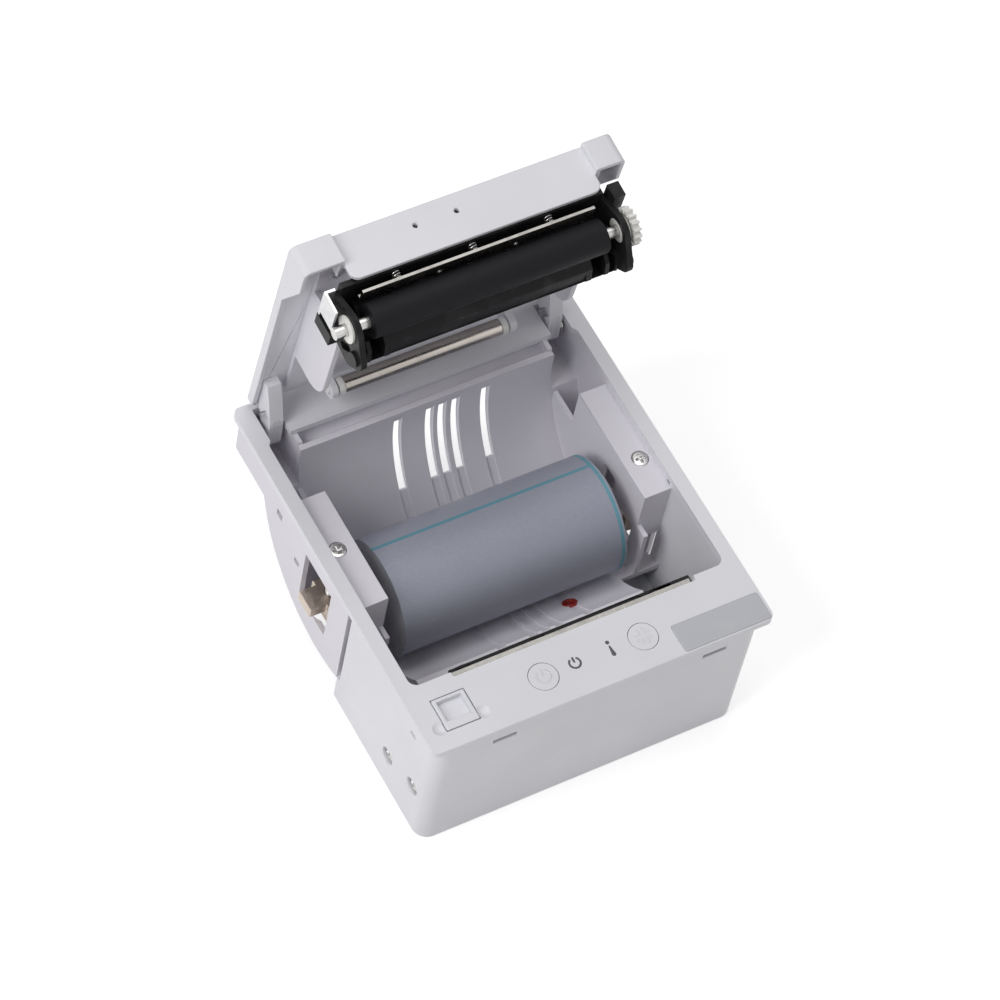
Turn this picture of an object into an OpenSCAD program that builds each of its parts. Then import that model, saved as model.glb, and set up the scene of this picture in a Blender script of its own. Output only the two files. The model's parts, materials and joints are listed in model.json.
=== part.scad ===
// Panel-mount thermal receipt printer with a rear-hinged lid and an auto cutter.
// Millimetres, +Z up, +Y to the rear, +X to the right.
// Origin: centre of the panel cut-out, on the underside of the flange.

/* [Flange and shell] */
// Width of the flange
flange_w = 120; // [118:1:126]
// Depth of the flange, front to rear
flange_d = 136; // [136:1:140]
// Thickness of the flange
flange_t = 2.5; // [2:0.1:3]
// Width of the body under the flange
body_w = 114; // [114:1:116]
// Height of the front block below the flange
block_h = 55.5; // [54:0.5:60]
// Wall thickness of the mouldings
wall = 1.8; // [1.6:0.1:2]

/* [Lid] */
// How far the lid stands open
open_angle = 84; // [0:1:84]
// Thickness of the lid plate
lid_t = 2.5; // [2:0.1:2.6]
// How far the lid's top stands above the flange
lid_proud = 0.8; // [0.6:0.1:1]

/* [Paper and rollers] */
// Diameter of the paper roll
roll_d = 39; // [20:1:39]
// Width of the paper roll
roll_w = 79.5; // [57:0.5:79.5]
// Diameter of the rubber platen roller
rubber_d = 11; // [10:0.5:11]
// Length of the rubber platen roller
rubber_w = 80; // [76:1:80]
// Diameter of the chrome guide roller
guide_d = 5.4; // [5:0.1:6]

/* [Slots] */
// Width of the see-through slots in the paper bucket
slot_w = 3; // [2:0.5:4]

/* [Hidden] */

// fits
slip = 0.05;        // radial running fit
gap = 0.3;          // air between bodies that move past each other
rebate = 0.2;       // depth to which the walls below stand in the flange
cut = 1;            // overshoot of every cutting shape
fn = 64;            // facets asked for on round shapes, rebuilt as true curves

// shell
half_w = body_w/2;
in_w = half_w - wall;               // inner face of the outer side walls
front_y = 1.5 - flange_d/2;         // outside of the front wall
block_y = -8.3;                     // outside of the block's rear wall
corner_r = 5;                       // upright front corners of the case

// opening in the flange
open_y0 = -44;
notch_y = -45.8;
notch_x0 = -41.85;
notch_x1 = 43.9;
open_y1 = 53.3;

// paper bucket
bucket_y = 6;
bucket_z = -3.7;
bucket_r = 41.8;
bucket_t = 2;
lip_z = -29;                        // front lip of the bucket
throat_y = -16;                     // the bucket is narrow in front of this line
throat_w = 40.7;
tub_w = 45.5;                       // inner faces of the paper bay's end walls
tub_t = 1.5;
ledge_z = -1.1;
ledge_y0 = -11.4;
ledge_y1 = 31.6;
ledge_face_z = -26;
slot_xs = [-10.5, 1, 5.5, 10.3, 21];
slot_top = -3;
slot_end = -41;
groove_depth = 0.5;
sensor_x = 21;
sensor_angle = -124.4;              // where the paper sensor sits on the bucket's arc

// hinge
hinge_y = 60.5;
hinge_z = -5.5;
pin_d = 3;
arm_x0 = 47.6;
arm_x1 = 52.4;
house_x0 = 44;
house_y1 = 66.8;
house_z = -19;

// lid, drawn closed
lid_w = 54.9;
lid_y0 = -43.4;
lid_y1 = 51.4;
lid_top = flange_t + lid_proud;
lid_under = lid_top - lid_t;
lid_block_x0 = -41;
lid_block_x1 = 44.5;
lid_block_h = 10.4;
lid_skirt_h = 3.5;
lid_setback = 2.5;
lid_front_h = 16;
liner_w = 44;
liner_t = 1.5;
liner_z = lid_under - liner_t;

// platen unit, drawn closed
platen_y = -32.9;
platen_z = -23.3;
plate_x = 44.6;                     // inner face of the unit's side plates
plate_t = 2;
bar_z0 = -13;
bar_z1 = -11;
beam_y0 = -26.6;                    // lower beam of the unit
beam_y1 = -18.2;
beam_z = -30;
beam_wall = 1.2;
gear_cover_x = 50.6;
gear_cover_z = -16.2;
shaft_d = 4;
shaft_x = 51.5;
blade_spring_xs = [-26, 0, 26];
blade_spring_y = -35.6;
blade_end = rubber_w/2 - 0.4;       // the fixed blade's ends, inside the side plates
guide_y = 41.7;
guide_z = -7.5;
guide_len = 60;

// controls on the deck
release_x = -46.7;
release_y = -56.2;
release_w = 11.2;
power_x = -16.5;
feed_x = 18.6;
button_y = -56.9;
button_d = 9.5;
led_x = -5.3;
info_x = 7.3;
plate_x0 = 28;
plate_x1 = 59;
plate_y0 = -67.3;
plate_y1 = -57.2;

board_z = -8;                       // top of the button board
board_posts = [[-23.4, -52.6], [25.4, -52.6]];

// clamps
clamp_x = 51.6;
left_clamp_y = 10.8;
right_clamp_y = 2.4;
window_w = 17;
window_z0 = -36;
window_z1 = -13;
screw_d = 3;
screw_head_d = 5.4;

// paper
roll_y = 2.5;
roll_z = -25.4;
core_d = 13;
core_t = 1.2;

// mechanism in the front block
cheek_x = 43.6;                     // inner face of the mechanism's end cheeks
cheek_t = 1.6;
floor_z = -44;                      // top of the mechanism's floor
blade_z = -15.9;
blade_t = 1;
sill_y = -41.3;                     // rear face of the black sill in the opening
sill_z = -1.3;
sill_x0 = -40.6;
sill_catch_xs = [-36, -10, 28];
cover_t = 0.8;
drive_x = -30;                      // upright axle of the cutter's drive
drive_y = -52;
drive_n = 10;
drive_m = 0.7;
head_y = -39.2;
idler_y = -43.3;
idler_z = -35.6;
gear_x = 48;
gear_w = 2.4;
gear_m = 0.8;
idler_n = 22;
feed_n = 12;
feed_y = idler_y - gear_m*(idler_n + feed_n)/2;
feed_z = idler_z;
latch_y = -47;
latch_z = -22.5;
latch_d = 3.5;
hook_x0 = 50.6;
hook_x1 = 52;
tail_z = -16.4;                     // top of the latch's tail
table_z = -10;                      // seat of the release spring
worm_z = floor_z + 6;
motor_y = drive_y - 6.2;

// ---------- helpers ----------

// a round bar along X, between two stations
module bar_x(x0, x1, y, z, d) {
    translate([x0, y, z]) rotate([0, 90, 0]) cylinder(h = x1 - x0, d = d, $fn = fn);
}

// a box given by its two corners
module box(a, b) {
    translate(a) cube([b[0] - a[0], b[1] - a[1], b[2] - a[2]]);
}

// extrudes a drawing of Y and Z along X
module along_x(x0, x1) {
    translate([x0, 0, 0]) rotate([90, 0, 90]) linear_extrude(x1 - x0) children();
}

// the same shape on the left and on the right
module both() {
    children();
    mirror([1, 0, 0]) children();
}

// swings the lid's parts, drawn closed, to where they stand open
module opened() {
    translate([0, hinge_y, hinge_z]) rotate([-open_angle, 0, 0]) translate([0, -hinge_y, -hinge_z])
        children();
}

// rectangle with rounded corners, from corner to corner
module round_rect(x0, y0, x1, y1, r) {
    translate([x0 + r, y0 + r]) offset(r = r, $fn = 48) square([x1 - x0 - 2*r, y1 - y0 - 2*r]);
}

// toothed wheel outline: each tooth is a trapezium between root and tip
module gear_2d(n, m, backlash) {
    pitch = n*m/2;
    step = 360/n;
    pts = [for (i = [0:n - 1]) for (k = [[-0.34, -1.2], [-0.13, 0.9], [0.13, 0.9], [0.34, -1.2]])
        let (a = (i + k[0]*(1 - backlash))*step, r = pitch + k[1]*m) [r*cos(a), r*sin(a)]];
    polygon(pts);
}

// ring sector drawn in the plane, from angle a0 to angle a1
module arc_2d(r_in, r_out, a0, a1) {
    n = max(2, ceil((a1 - a0)/6));
    pts_out = [for (i = [0:n]) r_out*[cos(a0 + (a1 - a0)*i/n), sin(a0 + (a1 - a0)*i/n)]];
    pts_in = [for (i = [n:-1:0]) r_in*[cos(a0 + (a1 - a0)*i/n), sin(a0 + (a1 - a0)*i/n)]];
    polygon(concat(pts_out, pts_in));
}

// coil of a spring along Z: stacked rings stand for its turns, joined by a side wire
module coil(d, wire, h, turns) {
    pitch = (h - wire)/turns;
    for (i = [0:turns])
        translate([0, 0, wire/2 + i*pitch]) rotate_extrude($fn = 32) translate([(d - wire)/2, 0]) circle(d = wire, $fn = 16);
    translate([(d - wire)/2, 0, wire/2]) cylinder(h = h - wire, d = wire*0.7, $fn = 16);
}

// ---------- flange and deck ----------

module power_symbol(r, w) {
    arc_2d(r - w/2, r + w/2, -235, 55);
    translate([-w/2, r*0.1]) square([w, r*1.05]);
}

module drop_symbol(w) {
    translate([0, 2.5]) circle(r = w*0.7, $fn = 32);
    polygon([[-w*0.25, 1.2], [w*0.25, 1.2], [w*0.75, -1.9], [-w*0.75, -1.9]]);
    translate([0, -1.9]) circle(r = w*0.75, $fn = 32);
}

module light_shapes() {
    translate([led_x, button_y + 0.3]) power_symbol(1.8, 0.6);
    translate([info_x, button_y + 0.1]) drop_symbol(0.9);
}

module opening_2d() {
    round_rect(-in_w, open_y0, in_w, open_y1, 3);
    round_rect(notch_x0, notch_y, notch_x1, open_y0 + 6, 0.8);
}

module deck_2d() {
    difference() {
        round_rect(-flange_w/2, -flange_d/2, flange_w/2, flange_d/2, 3);
        opening_2d();
        translate([release_x, release_y]) square(release_w + 2*gap, center = true);
        offset(delta = slip) light_shapes();
        both() translate([arm_x0 - 1, open_y1 - cut]) square([arm_x1 - arm_x0 + 2.6, 13]);
    }
}

module bezel() {
    color("white") difference() {
        union() {
            difference() {
                linear_extrude(flange_t) deck_2d();
                // rebate over the walls of the case and of the bucket
                translate([0, 0, -cut]) linear_extrude(cut + rebate) offset(delta = slip) {
                    case_2d(0);
                    translate([-half_w, block_y - 3]) square([2*half_w, house_y1 - block_y + 3]);
                }
            }
            // posts that carry the button board
            for (p = board_posts)
                translate([p[0], p[1], board_z]) cylinder(h = rebate + 0.01 - board_z, d = 3.6, $fn = fn);
        }
        for (x = [power_x, feed_x])
            translate([x, button_y, -cut]) cylinder(h = flange_t + 2*cut, d = button_d + 2*0.2, $fn = fn);
        translate([0, 0, flange_t - 0.4]) linear_extrude(cut)
            round_rect(plate_x0 - slip, plate_y0 - slip, plate_x1 + slip, plate_y1 + slip, 1);
        for (s = [-1, 1])
            translate([release_x + s*7.4, release_y - 4, flange_t + 3.2]) sphere(r = 4, $fn = fn);
    }
}

module nameplate() {
    color("lightsteelblue") translate([0, 0, flange_t - 0.4]) linear_extrude(0.6)
        round_rect(plate_x0, plate_y0, plate_x1, plate_y1, 1);
}

module light_pipes() {
    color("dimgray") translate([0, 0, -1.2]) linear_extrude(flange_t + 1.2) light_shapes();
}

// ---------- front case ----------

module case_2d(inset) {
    offset(delta = -inset) union() {
        round_rect(-half_w, front_y, half_w, block_y - 2, corner_r);
        translate([-half_w, block_y - 12]) square([2*half_w, 12]);
    }
}

// places a shape on each of the recessed screws of one side
module at_side_screws() {
    for (p = [[-41.8, -41.4], [-56.8, -36.2]])
        translate([in_w - 3, p[0], p[1]]) rotate([0, 90, 0]) children();
}

module front_case() {
    color("white") difference() {
        union() {
            difference() {
                translate([0, 0, -block_h]) linear_extrude(block_h + rebate) case_2d(0);
                translate([0, 0, -block_h + wall]) linear_extrude(block_h) case_2d(wall);
                // the bucket passes through the rear wall
                along_x(-half_w - cut, half_w + cut) intersection() {
                    union() {
                        translate([bucket_y, bucket_z]) circle(r = bucket_r + bucket_t, $fn = fn);
                        translate([bucket_y - 40, bucket_z]) square([80, 10]);
                    }
                    translate([block_y - wall - 0.01, -60]) square([20, 80]);
                }
            }
            // screw towers of the side walls
            both() at_side_screws() cylinder(h = 3.01, d = 8, $fn = fn);
            // locating tab at the foot of the rear wall
            box([-12, block_y, -block_h], [12, block_y + 3, -block_h + 3]);
        }
        both() at_side_screws() {
            translate([0, 0, -cut]) cylinder(h = 10, d = screw_d + 2*slip, $fn = fn);
            translate([0, 0, 1.5]) cylinder(h = 10, d = 6, $fn = fn);
        }
        // vent slots of the front wall and of the side walls
        box([-37.5, front_y - cut, -8.3], [-29.4, front_y + wall + cut, -6.7]);
        box([36.5, front_y - cut, -8.3], [44.9, front_y + wall + cut, -6.7]);
        both() box([half_w - wall - cut, -53.5, -13.1], [half_w + cut, -50.5, -11.9]);
        // socket openings of the floor
        box([-31, -30, -block_h - cut], [-18, -16, -block_h + wall + cut]);
        box([14, -30, -block_h - cut], [26, -18, -block_h + wall + cut]);
    }
}

module side_screws() {
    color("silver") both() at_side_screws() difference() {
        union() {
            cylinder(h = 1.5, d = screw_d, $fn = fn);
            translate([0, 0, 1.5]) cylinder(h = 1.5, d = 5.4, $fn = fn);
        }
        translate([0, 0, 2.2]) cross_recess();
    }
}

module cross_recess() {
    translate([-0.35, -1.5, 0]) cube([0.7, 3, 2]);
    translate([-1.5, -0.35, 0]) cube([3, 0.7, 2]);
}

// ---------- paper bucket ----------

module bucket_2d(extra) {
    translate([bucket_y, bucket_z]) circle(r = bucket_r + extra, $fn = fn);
    translate([bucket_y - bucket_r - extra, bucket_z]) square([2*(bucket_r + extra), -bucket_z]);
}

// side view of the space that holds the hinge arms
module hinge_bay_2d() {
    translate([ledge_y1, house_z + wall]) square([house_y1 - wall - ledge_y1, 30]);
}

module bucket_band(x0, x1, y0, z1) {
    along_x(x0, x1) intersection() {
        difference() {
            bucket_2d(bucket_t);
            bucket_2d(0);
        }
        union() {
            translate([y0, -60]) square([bucket_y - y0, 60 + min(z1, lip_z)]);
            translate([bucket_y, -60]) square([60, 60 + z1]);
        }
    }
}

module paper_bucket() {
    color("gainsboro") difference() {
        union() {
            // curved floor: throat, bay and the part beside the bay
            bucket_band(-throat_w, throat_w, -50, -1.2);
            difference() {
                bucket_band(-in_w, in_w, throat_y, -1.2);
                both() along_x(tub_w, in_w + cut) hinge_bay_2d();
            }
            both() side_parts();
            // cups that take the heads of the clamp screws
            translate([-clamp_x, left_clamp_y, ledge_z - 3.5]) cylinder(h = 3, d = 7.2, $fn = fn);
            translate([clamp_x, right_clamp_y, ledge_z - 3.5]) cylinder(h = 3, d = 7.2, $fn = fn);
            // shelf and lip behind the bay, up to the flange
            along_x(-house_x0, house_x0)
                translate([bucket_y + bucket_r, -6]) square([9.5, 2]);
            along_x(-house_x0, house_x0)
                translate([bucket_y + bucket_r + 7.5, -4.01]) square([2, 4.01]);
        }
        // slots and the grooves that carry on from them
        for (x = slot_xs) {
            along_x(x - slot_w/2, x + slot_w/2) translate([bucket_y, bucket_z])
                arc_2d(bucket_r - 3, bucket_r + bucket_t + 3, slot_end, slot_top);
            along_x(x - slot_w/2, x + slot_w/2) intersection() {
                translate([bucket_y, bucket_z]) circle(r = bucket_r + groove_depth, $fn = fn);
                translate([-40, -60]) square([90, 60 + bucket_z]);
            }
        }
        // seat of the paper sensor
        at_sensor() translate([0, 0, bucket_r - 3]) cylinder(h = 10, d = 5 + 2*slip, $fn = fn);
        // bores of the clamp screws and of the hinge pins
        translate([-clamp_x, left_clamp_y, -60]) cylinder(h = 70, d = screw_d + 2*slip, $fn = fn);
        translate([clamp_x, right_clamp_y, -60]) cylinder(h = 70, d = screw_d + 2*slip, $fn = fn);
        translate([-clamp_x, left_clamp_y, -60]) cylinder(h = 26, d = 10, $fn = fn);
        translate([clamp_x, right_clamp_y, -60]) cylinder(h = 26, d = 10, $fn = fn);
        bar_x(-half_w - cut, half_w + cut, hinge_y, hinge_z, pin_d);
        translate([-clamp_x, left_clamp_y, ledge_z - 1.8]) cylinder(h = 4, d = screw_head_d + 0.3, $fn = fn);
        translate([clamp_x, right_clamp_y, ledge_z - 1.8]) cylinder(h = 4, d = screw_head_d + 0.3, $fn = fn);
        // windows for the clamps, and see-through cut-outs of the bay's right wall
        clamp_window(-half_w - cut, left_clamp_y);
        clamp_window(in_w - cut, right_clamp_y);
        for (p = [[-9, -25], [4, -17]])
            box([tub_w - cut, p[0], p[1] - 4.5], [tub_w + tub_t + cut, p[0] + 7, p[1] + 4.5]);
        both() box([in_w - cut, 35, -17], [half_w + cut, 38.5, -14]);
        both() box([in_w - cut, 22, -25], [half_w + cut, 25, -22.6]);
    }
}

module clamp_window(x, y) {
    box([x, y - window_w/2, window_z0], [x + wall + 2*cut, y + window_w/2, window_z1]);
}

module side_parts() {
    // outer wall, rounded to the bucket, and the hinge housing behind it
    along_x(in_w, half_w) {
        intersection() {
            bucket_2d(bucket_t);
            translate([block_y, -60]) square([80, 60]);
        }
        translate([bucket_y, house_z]) square([house_y1 - bucket_y, -house_z]);
        translate([block_y, -0.01]) square([house_y1 - block_y, rebate + 0.01]);
    }
    // end wall of the paper bay
    along_x(tub_w, tub_w + tub_t) intersection() {
        bucket_2d(0.01);
        union() {
            translate([ledge_y0, -60]) square([ledge_y1 - ledge_y0, 60 + ledge_z]);
            translate([throat_y, -60]) square([60, 60 + house_z + wall]);
        }
        translate([throat_y, -60]) square([80, 60 + ledge_z]);
    }
    // ledge with its front and rear faces
    box([tub_w, ledge_y0, ledge_z - tub_t], [in_w, ledge_y1, ledge_z]);
    box([tub_w, ledge_y0, ledge_face_z], [in_w, ledge_y0 + tub_t, ledge_z]);
    box([tub_w, ledge_y1 - tub_t, house_z], [in_w, ledge_y1, ledge_z]);
    // hinge housing
    along_x(house_x0, house_x0 + tub_t) difference() {
        translate([bucket_y + 30, house_z]) square([house_y1 - bucket_y - 30, -house_z]);
        bucket_2d(0);
        translate([bucket_y + 30, -14]) square([bucket_r - 30 + 1.9, 20]);
    }
    along_x(house_x0, in_w) difference() {
        translate([ledge_y1 - tub_t, house_z]) square([house_y1 - ledge_y1 + tub_t, -house_z]);
        translate([ledge_y1 - tub_t - cut, house_z + wall]) square([house_y1 - ledge_y1 + tub_t + cut - wall, 30]);
        intersection() {
            bucket_2d(0);
            translate([0, -60]) square([ledge_y1 - 0.01 + 20, 80]);
        }
    }
}

// places a shape on the bucket's slope where the paper sensor looks in
module at_sensor() {
    translate([sensor_x, bucket_y, bucket_z]) rotate([sensor_angle - 90, 0, 0]) children();
}

module paper_sensor() {
    color("indianred") at_sensor() difference() {
        translate([0, 0, bucket_r - 0.3]) cylinder(h = 4.6, d = 5, $fn = fn);
        translate([0, 0, bucket_r - 0.3 - cut]) cylinder(h = cut + 0.6, d = 3.4, $fn = fn);
    }
}

module hinge_pins() {
    color("silver") both() bar_x(house_x0, half_w, hinge_y, hinge_z, pin_d);
}

// ---------- clamps behind the side windows ----------

module clamp_screw(x, y) {
    translate([x, y, 0]) difference() {
        union() {
            translate([0, 0, window_z0 - 1]) cylinder(h = ledge_z - window_z0 - 0.5, d = screw_d, $fn = fn);
            translate([0, 0, ledge_z - 1.8]) cylinder(h = 1.7, d = screw_head_d, $fn = fn);
        }
        translate([0, 0, ledge_z - 0.9]) cross_recess();
    }
}

module left_clamp_screw() { color("silver") clamp_screw(-clamp_x, left_clamp_y); }

module right_clamp_screw() { color("silver") clamp_screw(clamp_x, right_clamp_y); }

// block that runs on the screw, with a toe that comes out under the panel
module clamp(y) {
    difference() {
        union() {
            box([tub_w + tub_t + 0.5, y - 6, window_z0 + 2], [in_w - 0.4, y + 6, window_z0 + 10]);
            box([in_w - 0.5, y - 4, window_z0 + 6], [half_w + 3.5, y + 4, window_z0 + 10]);
        }
        translate([clamp_x, y, window_z0]) cylinder(h = 20, d = screw_d + 2*slip, $fn = fn);
    }
}

module left_clamp() { color("goldenrod") mirror([1, 0, 0]) clamp(left_clamp_y); }

module right_clamp() { color("goldenrod") clamp(right_clamp_y); }

// ---------- buttons ----------

module release_button() {
    color("whitesmoke") translate([release_x, release_y, 0]) difference() {
        union() {
            translate([-release_w/2, -release_w/2, -2]) cube([release_w, release_w, flange_t + 2.3]);
            translate([0, 0, tail_z + 2*gap]) cylinder(h = -2 - tail_z, d = 4, $fn = fn);
        }
        translate([-4.2, -2.6, flange_t - 1.6]) cube([8.4, 7, 3]);
    }
}

module round_button(x) {
    translate([x, button_y, 0]) {
        translate([0, 0, -1.2]) cylinder(h = flange_t + 1.2, d = button_d, $fn = fn);
        translate([0, 0, -1.2]) cylinder(h = 1, d = button_d + 2, $fn = fn);
        translate([0, 0, -4.1]) cylinder(h = 3, d = 3, $fn = fn);
    }
}

module power_button() {
    color("white") {
        round_button(power_x);
        translate([power_x, button_y, flange_t - 0.01]) linear_extrude(0.13) power_symbol(2.3, 0.5);
    }
}

module feed_button() {
    color("white") {
        round_button(feed_x);
        translate([feed_x, button_y, flange_t - 0.01]) linear_extrude(0.13) for (a = [0:90:270])
            rotate(a) translate([0.6, 0.6]) difference() {
                square(2.1);
                translate([0.7, 0.7]) square(2.1);
            }
    }
}

module button_board() {
    color("seagreen") box([-25, -62, board_z - 1.2], [27, -50.5, board_z]);
}

module tact_switches() {
    color("black") for (x = [power_x, feed_x]) translate([x, button_y, board_z]) {
        translate([-3, -3, 0]) cube([6, 6, 2.4]);
        cylinder(h = 3, d = 3.4, $fn = fn);
    }
}

module release_spring() {
    color("silver") translate([release_x, release_y, table_z]) coil(7, 0.6, -2 - table_z, 5);
}

// ---------- print and cutter mechanism ----------

module mech_frame() {
    color([0.1, 0.1, 0.11]) difference() {
        union() {
            // cheeks at both ends, the floor and the cross bar behind the head's springs
            both() box([cheek_x, -62, floor_z - 1.5], [cheek_x + cheek_t, -44.4, -19]);
            box([-cheek_x - cheek_t, -62, floor_z - 1.5], [cheek_x + cheek_t, -44.4, floor_z]);
            box([-cheek_x - 0.01, -50.1, floor_z - 0.01], [24, -48.8, -26]);
            // horns that guide the platen unit's side plates
            both() along_x(cheek_x + 0.9, cheek_x + 3.2)
                polygon([[-44.4, -30], [-44.4, -9.4], [-43.2, -7.7], [-41.9, -9.5], [-41.6, -14], [-41.6, -30]]);
            both() box([cheek_x, -45, -30], [cheek_x + cheek_t, -44.3, -19]);
            // legs down to the case
            for (x = [-40, 40], y = [-59, -48])
                translate([x, y, wall - block_h]) cylinder(h = block_h - wall + floor_z - 1, d = 5, $fn = fn);
            // table under the release spring, on a front wall
            box([release_x - 6, -62, table_z - 1.2], [-cheek_x - 0.95, -50.5, table_z]);
            box([release_x - 6, -62, -21], [-cheek_x - 0.9, -60.8, table_z]);
        }
        bar_x(-half_w, half_w, latch_y, latch_z, latch_d + 2*slip);
        bar_x(cheek_x - cut, half_w, idler_y, idler_z, 2.4 + 2*slip);
        bar_x(cheek_x - cut, half_w, feed_y, feed_z, 2 + 2*slip);
        translate([release_x, release_y, -30]) cylinder(h = 30, d = 4 + 2*slip, $fn = fn);
        // foot bearing of the cutter's drive and room for its wheel
        translate([drive_x, drive_y, floor_z - 0.5]) cylinder(h = 10, d = 1.5 + 2*slip, $fn = fn);
        translate([drive_x, drive_y, floor_z]) cylinder(h = 9, r = 5.4, $fn = fn);
    }
}

module lower_guide() {
    color([0.14, 0.14, 0.16]) {
        // sloping paper guide from the head to the bucket's lip
        along_x(-throat_w, throat_w) polygon([[-38.6, -31.6], [-30.6, lip_z - 0.4], [-29.6, lip_z - 2],
            [-36, -35], [-43.4, -35], [-43.4, -33.3], [-38.6, -33.3]]);
        for (x = [-33, -2, 30])
            translate([x, -33.2, -31.6]) rotate([15, 0, 0]) cylinder(h = 1.9, d = 3.4, $fn = 32);
    }
}

module heat_sink() {
    color("silver") difference() {
        box([-cheek_x + 0.1, -43.8, -32.5], [cheek_x - 0.1, head_y - 1.5, -19.5]);
        for (x = [-30:12:30]) box([x - 2, -45, -31], [x + 2, -42.6, -22]);
    }
}

module thermal_head() {
    color("tan") box([-40, head_y - 1.5, -31], [40, head_y, -20]);
}

module head_springs() {
    color("silver") for (x = [-26, 26])
        translate([x, -43.8, -29.2]) rotate([90, 0, 0]) coil(5, 0.6, 5, 4);
}

module head_cable() {
    color("saddlebrown") {
        box([-20, -44.1, -49.4], [20, -43.8, -27]);
        box([-20, -44.1, -49.4], [20, -30, -49.1]);
    }
}

module cutter_frame() {
    color([0.12, 0.12, 0.13]) difference() {
        union() {
            // roof and bed, with the blade's slot between them
            box([-44.4, -63, -14.8], [44.4, -43.9, -10]);
            box([-44.4, -63, -19], [44.4, -45, -16]);
            both() box([43, -63, -16.01], [44.4, -45, -14.79]);
            // sill along the opening's front edge, with its rounded catches
            box([sill_x0, -43.91, -14.8], [44.2, sill_y, sill_z]);
            for (x = sill_catch_xs) translate([x, sill_y - 0.7, sill_z - 0.01]) scale([1.8, 0.45, 1])
                cylinder(h = 0.6, r1 = 1.5, r2 = 1.1, $fn = 32);
        }
        // seat of the upright axle and room for the pinion and the rack
        translate([drive_x, drive_y, -16]) cylinder(h = 5.5, d = 3 + 2*slip, $fn = fn);
        box([drive_x - 5, -62, -20], [drive_x + 8.6, -44.9, -15.95]);
    }
}

module cutter_cover() {
    color("silver") box([sill_x0, -50.3, sill_z], [43.4, sill_y - 1.5, sill_z + cover_t]);
}

// sliding blade with a shallow V edge and the rack that drives it
module cutter_blade() {
    pitch = PI*drive_m;
    reach = drive_n*drive_m/2;
    color("silver") {
        translate([0, 0, blade_z + slip]) linear_extrude(blade_t) difference() {
            polygon([[-42, -61.5], [42, -61.5], [42, -41.4], [0, -43.6], [-42, -41.4]]);
            translate([drive_x - 2.2, -59.8]) square([4.4, 12]);
        }
        translate([drive_x + reach, drive_y, -18.2]) linear_extrude(18.2 + blade_z + slip + 0.01) {
            translate([1.2*drive_m, -4*pitch]) square([2.4, 6*pitch]);
            for (i = [-4:1]) translate([0, (i + 0.5)*pitch]) polygon([[1.2*drive_m + 0.01, -0.32*pitch],
                [-0.8*drive_m, -0.11*pitch], [-0.8*drive_m, 0.11*pitch], [1.2*drive_m + 0.01, 0.32*pitch]]);
        }
    }
}

// upright axle with the rack's pinion above and the worm wheel below
module cutter_pinion() {
    color("ivory") translate([drive_x, drive_y, 0]) {
        translate([0, 0, -18.2]) linear_extrude(2.1) gear_2d(drive_n, drive_m, 0.1);
        translate([0, 0, worm_z - 3]) cylinder(h = -11 - worm_z + 3, d = 3, $fn = fn);
        translate([0, 0, floor_z - 0.4]) cylinder(h = 6, d = 1.5, $fn = fn);
        translate([0, 0, worm_z - 1.5]) linear_extrude(3) gear_2d(12, drive_m, 0);
    }
}

module cutter_motor() {
    color("darkgray") {
        bar_x(-22, 2, motor_y, worm_z, 12);
        bar_x(-33, -21.9, motor_y, worm_z, 1.5);
        bar_x(-33, -27, motor_y, worm_z, 2.4);
    }
}

module feed_motor() {
    color("dimgray") {
        bar_x(26, cheek_x, feed_y, feed_z, 15);
        bar_x(cheek_x - 0.1, gear_x + gear_w, feed_y, feed_z, 2);
    }
}

module feed_pinion() {
    color("ivory") translate([gear_x, feed_y, feed_z]) rotate([0, 90, 0]) linear_extrude(gear_w) difference() {
        gear_2d(feed_n, gear_m, 0.12);
        circle(d = 2 + 2*slip, $fn = fn);
    }
}

module idler_gear() {
    color("ivory") {
        translate([gear_x, idler_y, idler_z]) rotate([0, 90, 0]) linear_extrude(gear_w)
            gear_2d(idler_n, gear_m, 0.12);
        bar_x(cheek_x, gear_x + gear_w, idler_y, idler_z, 2.4);
    }
}

module latch_shaft() {
    color("silver") bar_x(-hook_x1, hook_x1, latch_y, latch_z, latch_d);
}

module latch_hooks() {
    color([0.09, 0.09, 0.1]) difference() {
        union() {
            both() along_x(hook_x0, hook_x1) {
                translate([latch_y, latch_z]) circle(r = 3.4, $fn = fn);
                polygon([[latch_y - 2.5, latch_z], [latch_y + 2.8, latch_z], [-42.6, -17.6], [-37.4, -18.6],
                    [-37.2, -16], [-41, -10.5], [-44.6, -9.6]]);
            }
            // tail that the release button presses
            along_x(release_x - 2.4, release_x - 0.4) {
                translate([latch_y, latch_z]) circle(r = 3.4, $fn = fn);
                polygon([[latch_y - 2, latch_z + 2.6], [latch_y + 1, latch_z + 3.2], [-50, tail_z],
                    [-57.6, tail_z], [-57.6, tail_z - 1.8], [-51, tail_z - 1.8]]);
            }
        }
        bar_x(-60, 60, latch_y, latch_z, latch_d);
    }
}

module main_board() {
    color("darkgreen") box([-46, -34, -51], [46, -12, -49.4]);
}

module data_socket() {
    color("silver") difference() {
        box([-30.5, -29.5, -block_h + 0.1], [-18.5, -16.5, -51]);
        box([-29.2, -28, -block_h - cut], [-19.8, -18, -52]);
    }
}

module power_socket() {
    color("black") difference() {
        box([14.5, -29.5, -block_h + 0.1], [25.5, -18.5, -51]);
        translate([20, -24, -block_h - cut]) cylinder(h = 4.5, d = 6, $fn = fn);
    }
}

// ---------- paper ----------

module paper_roll() {
    color("white") difference() {
        bar_x(-roll_w/2, roll_w/2, roll_y, roll_z, roll_d);
        bar_x(-roll_w/2 - cut, roll_w/2 + cut, roll_y, roll_z, core_d);
    }
}

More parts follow.
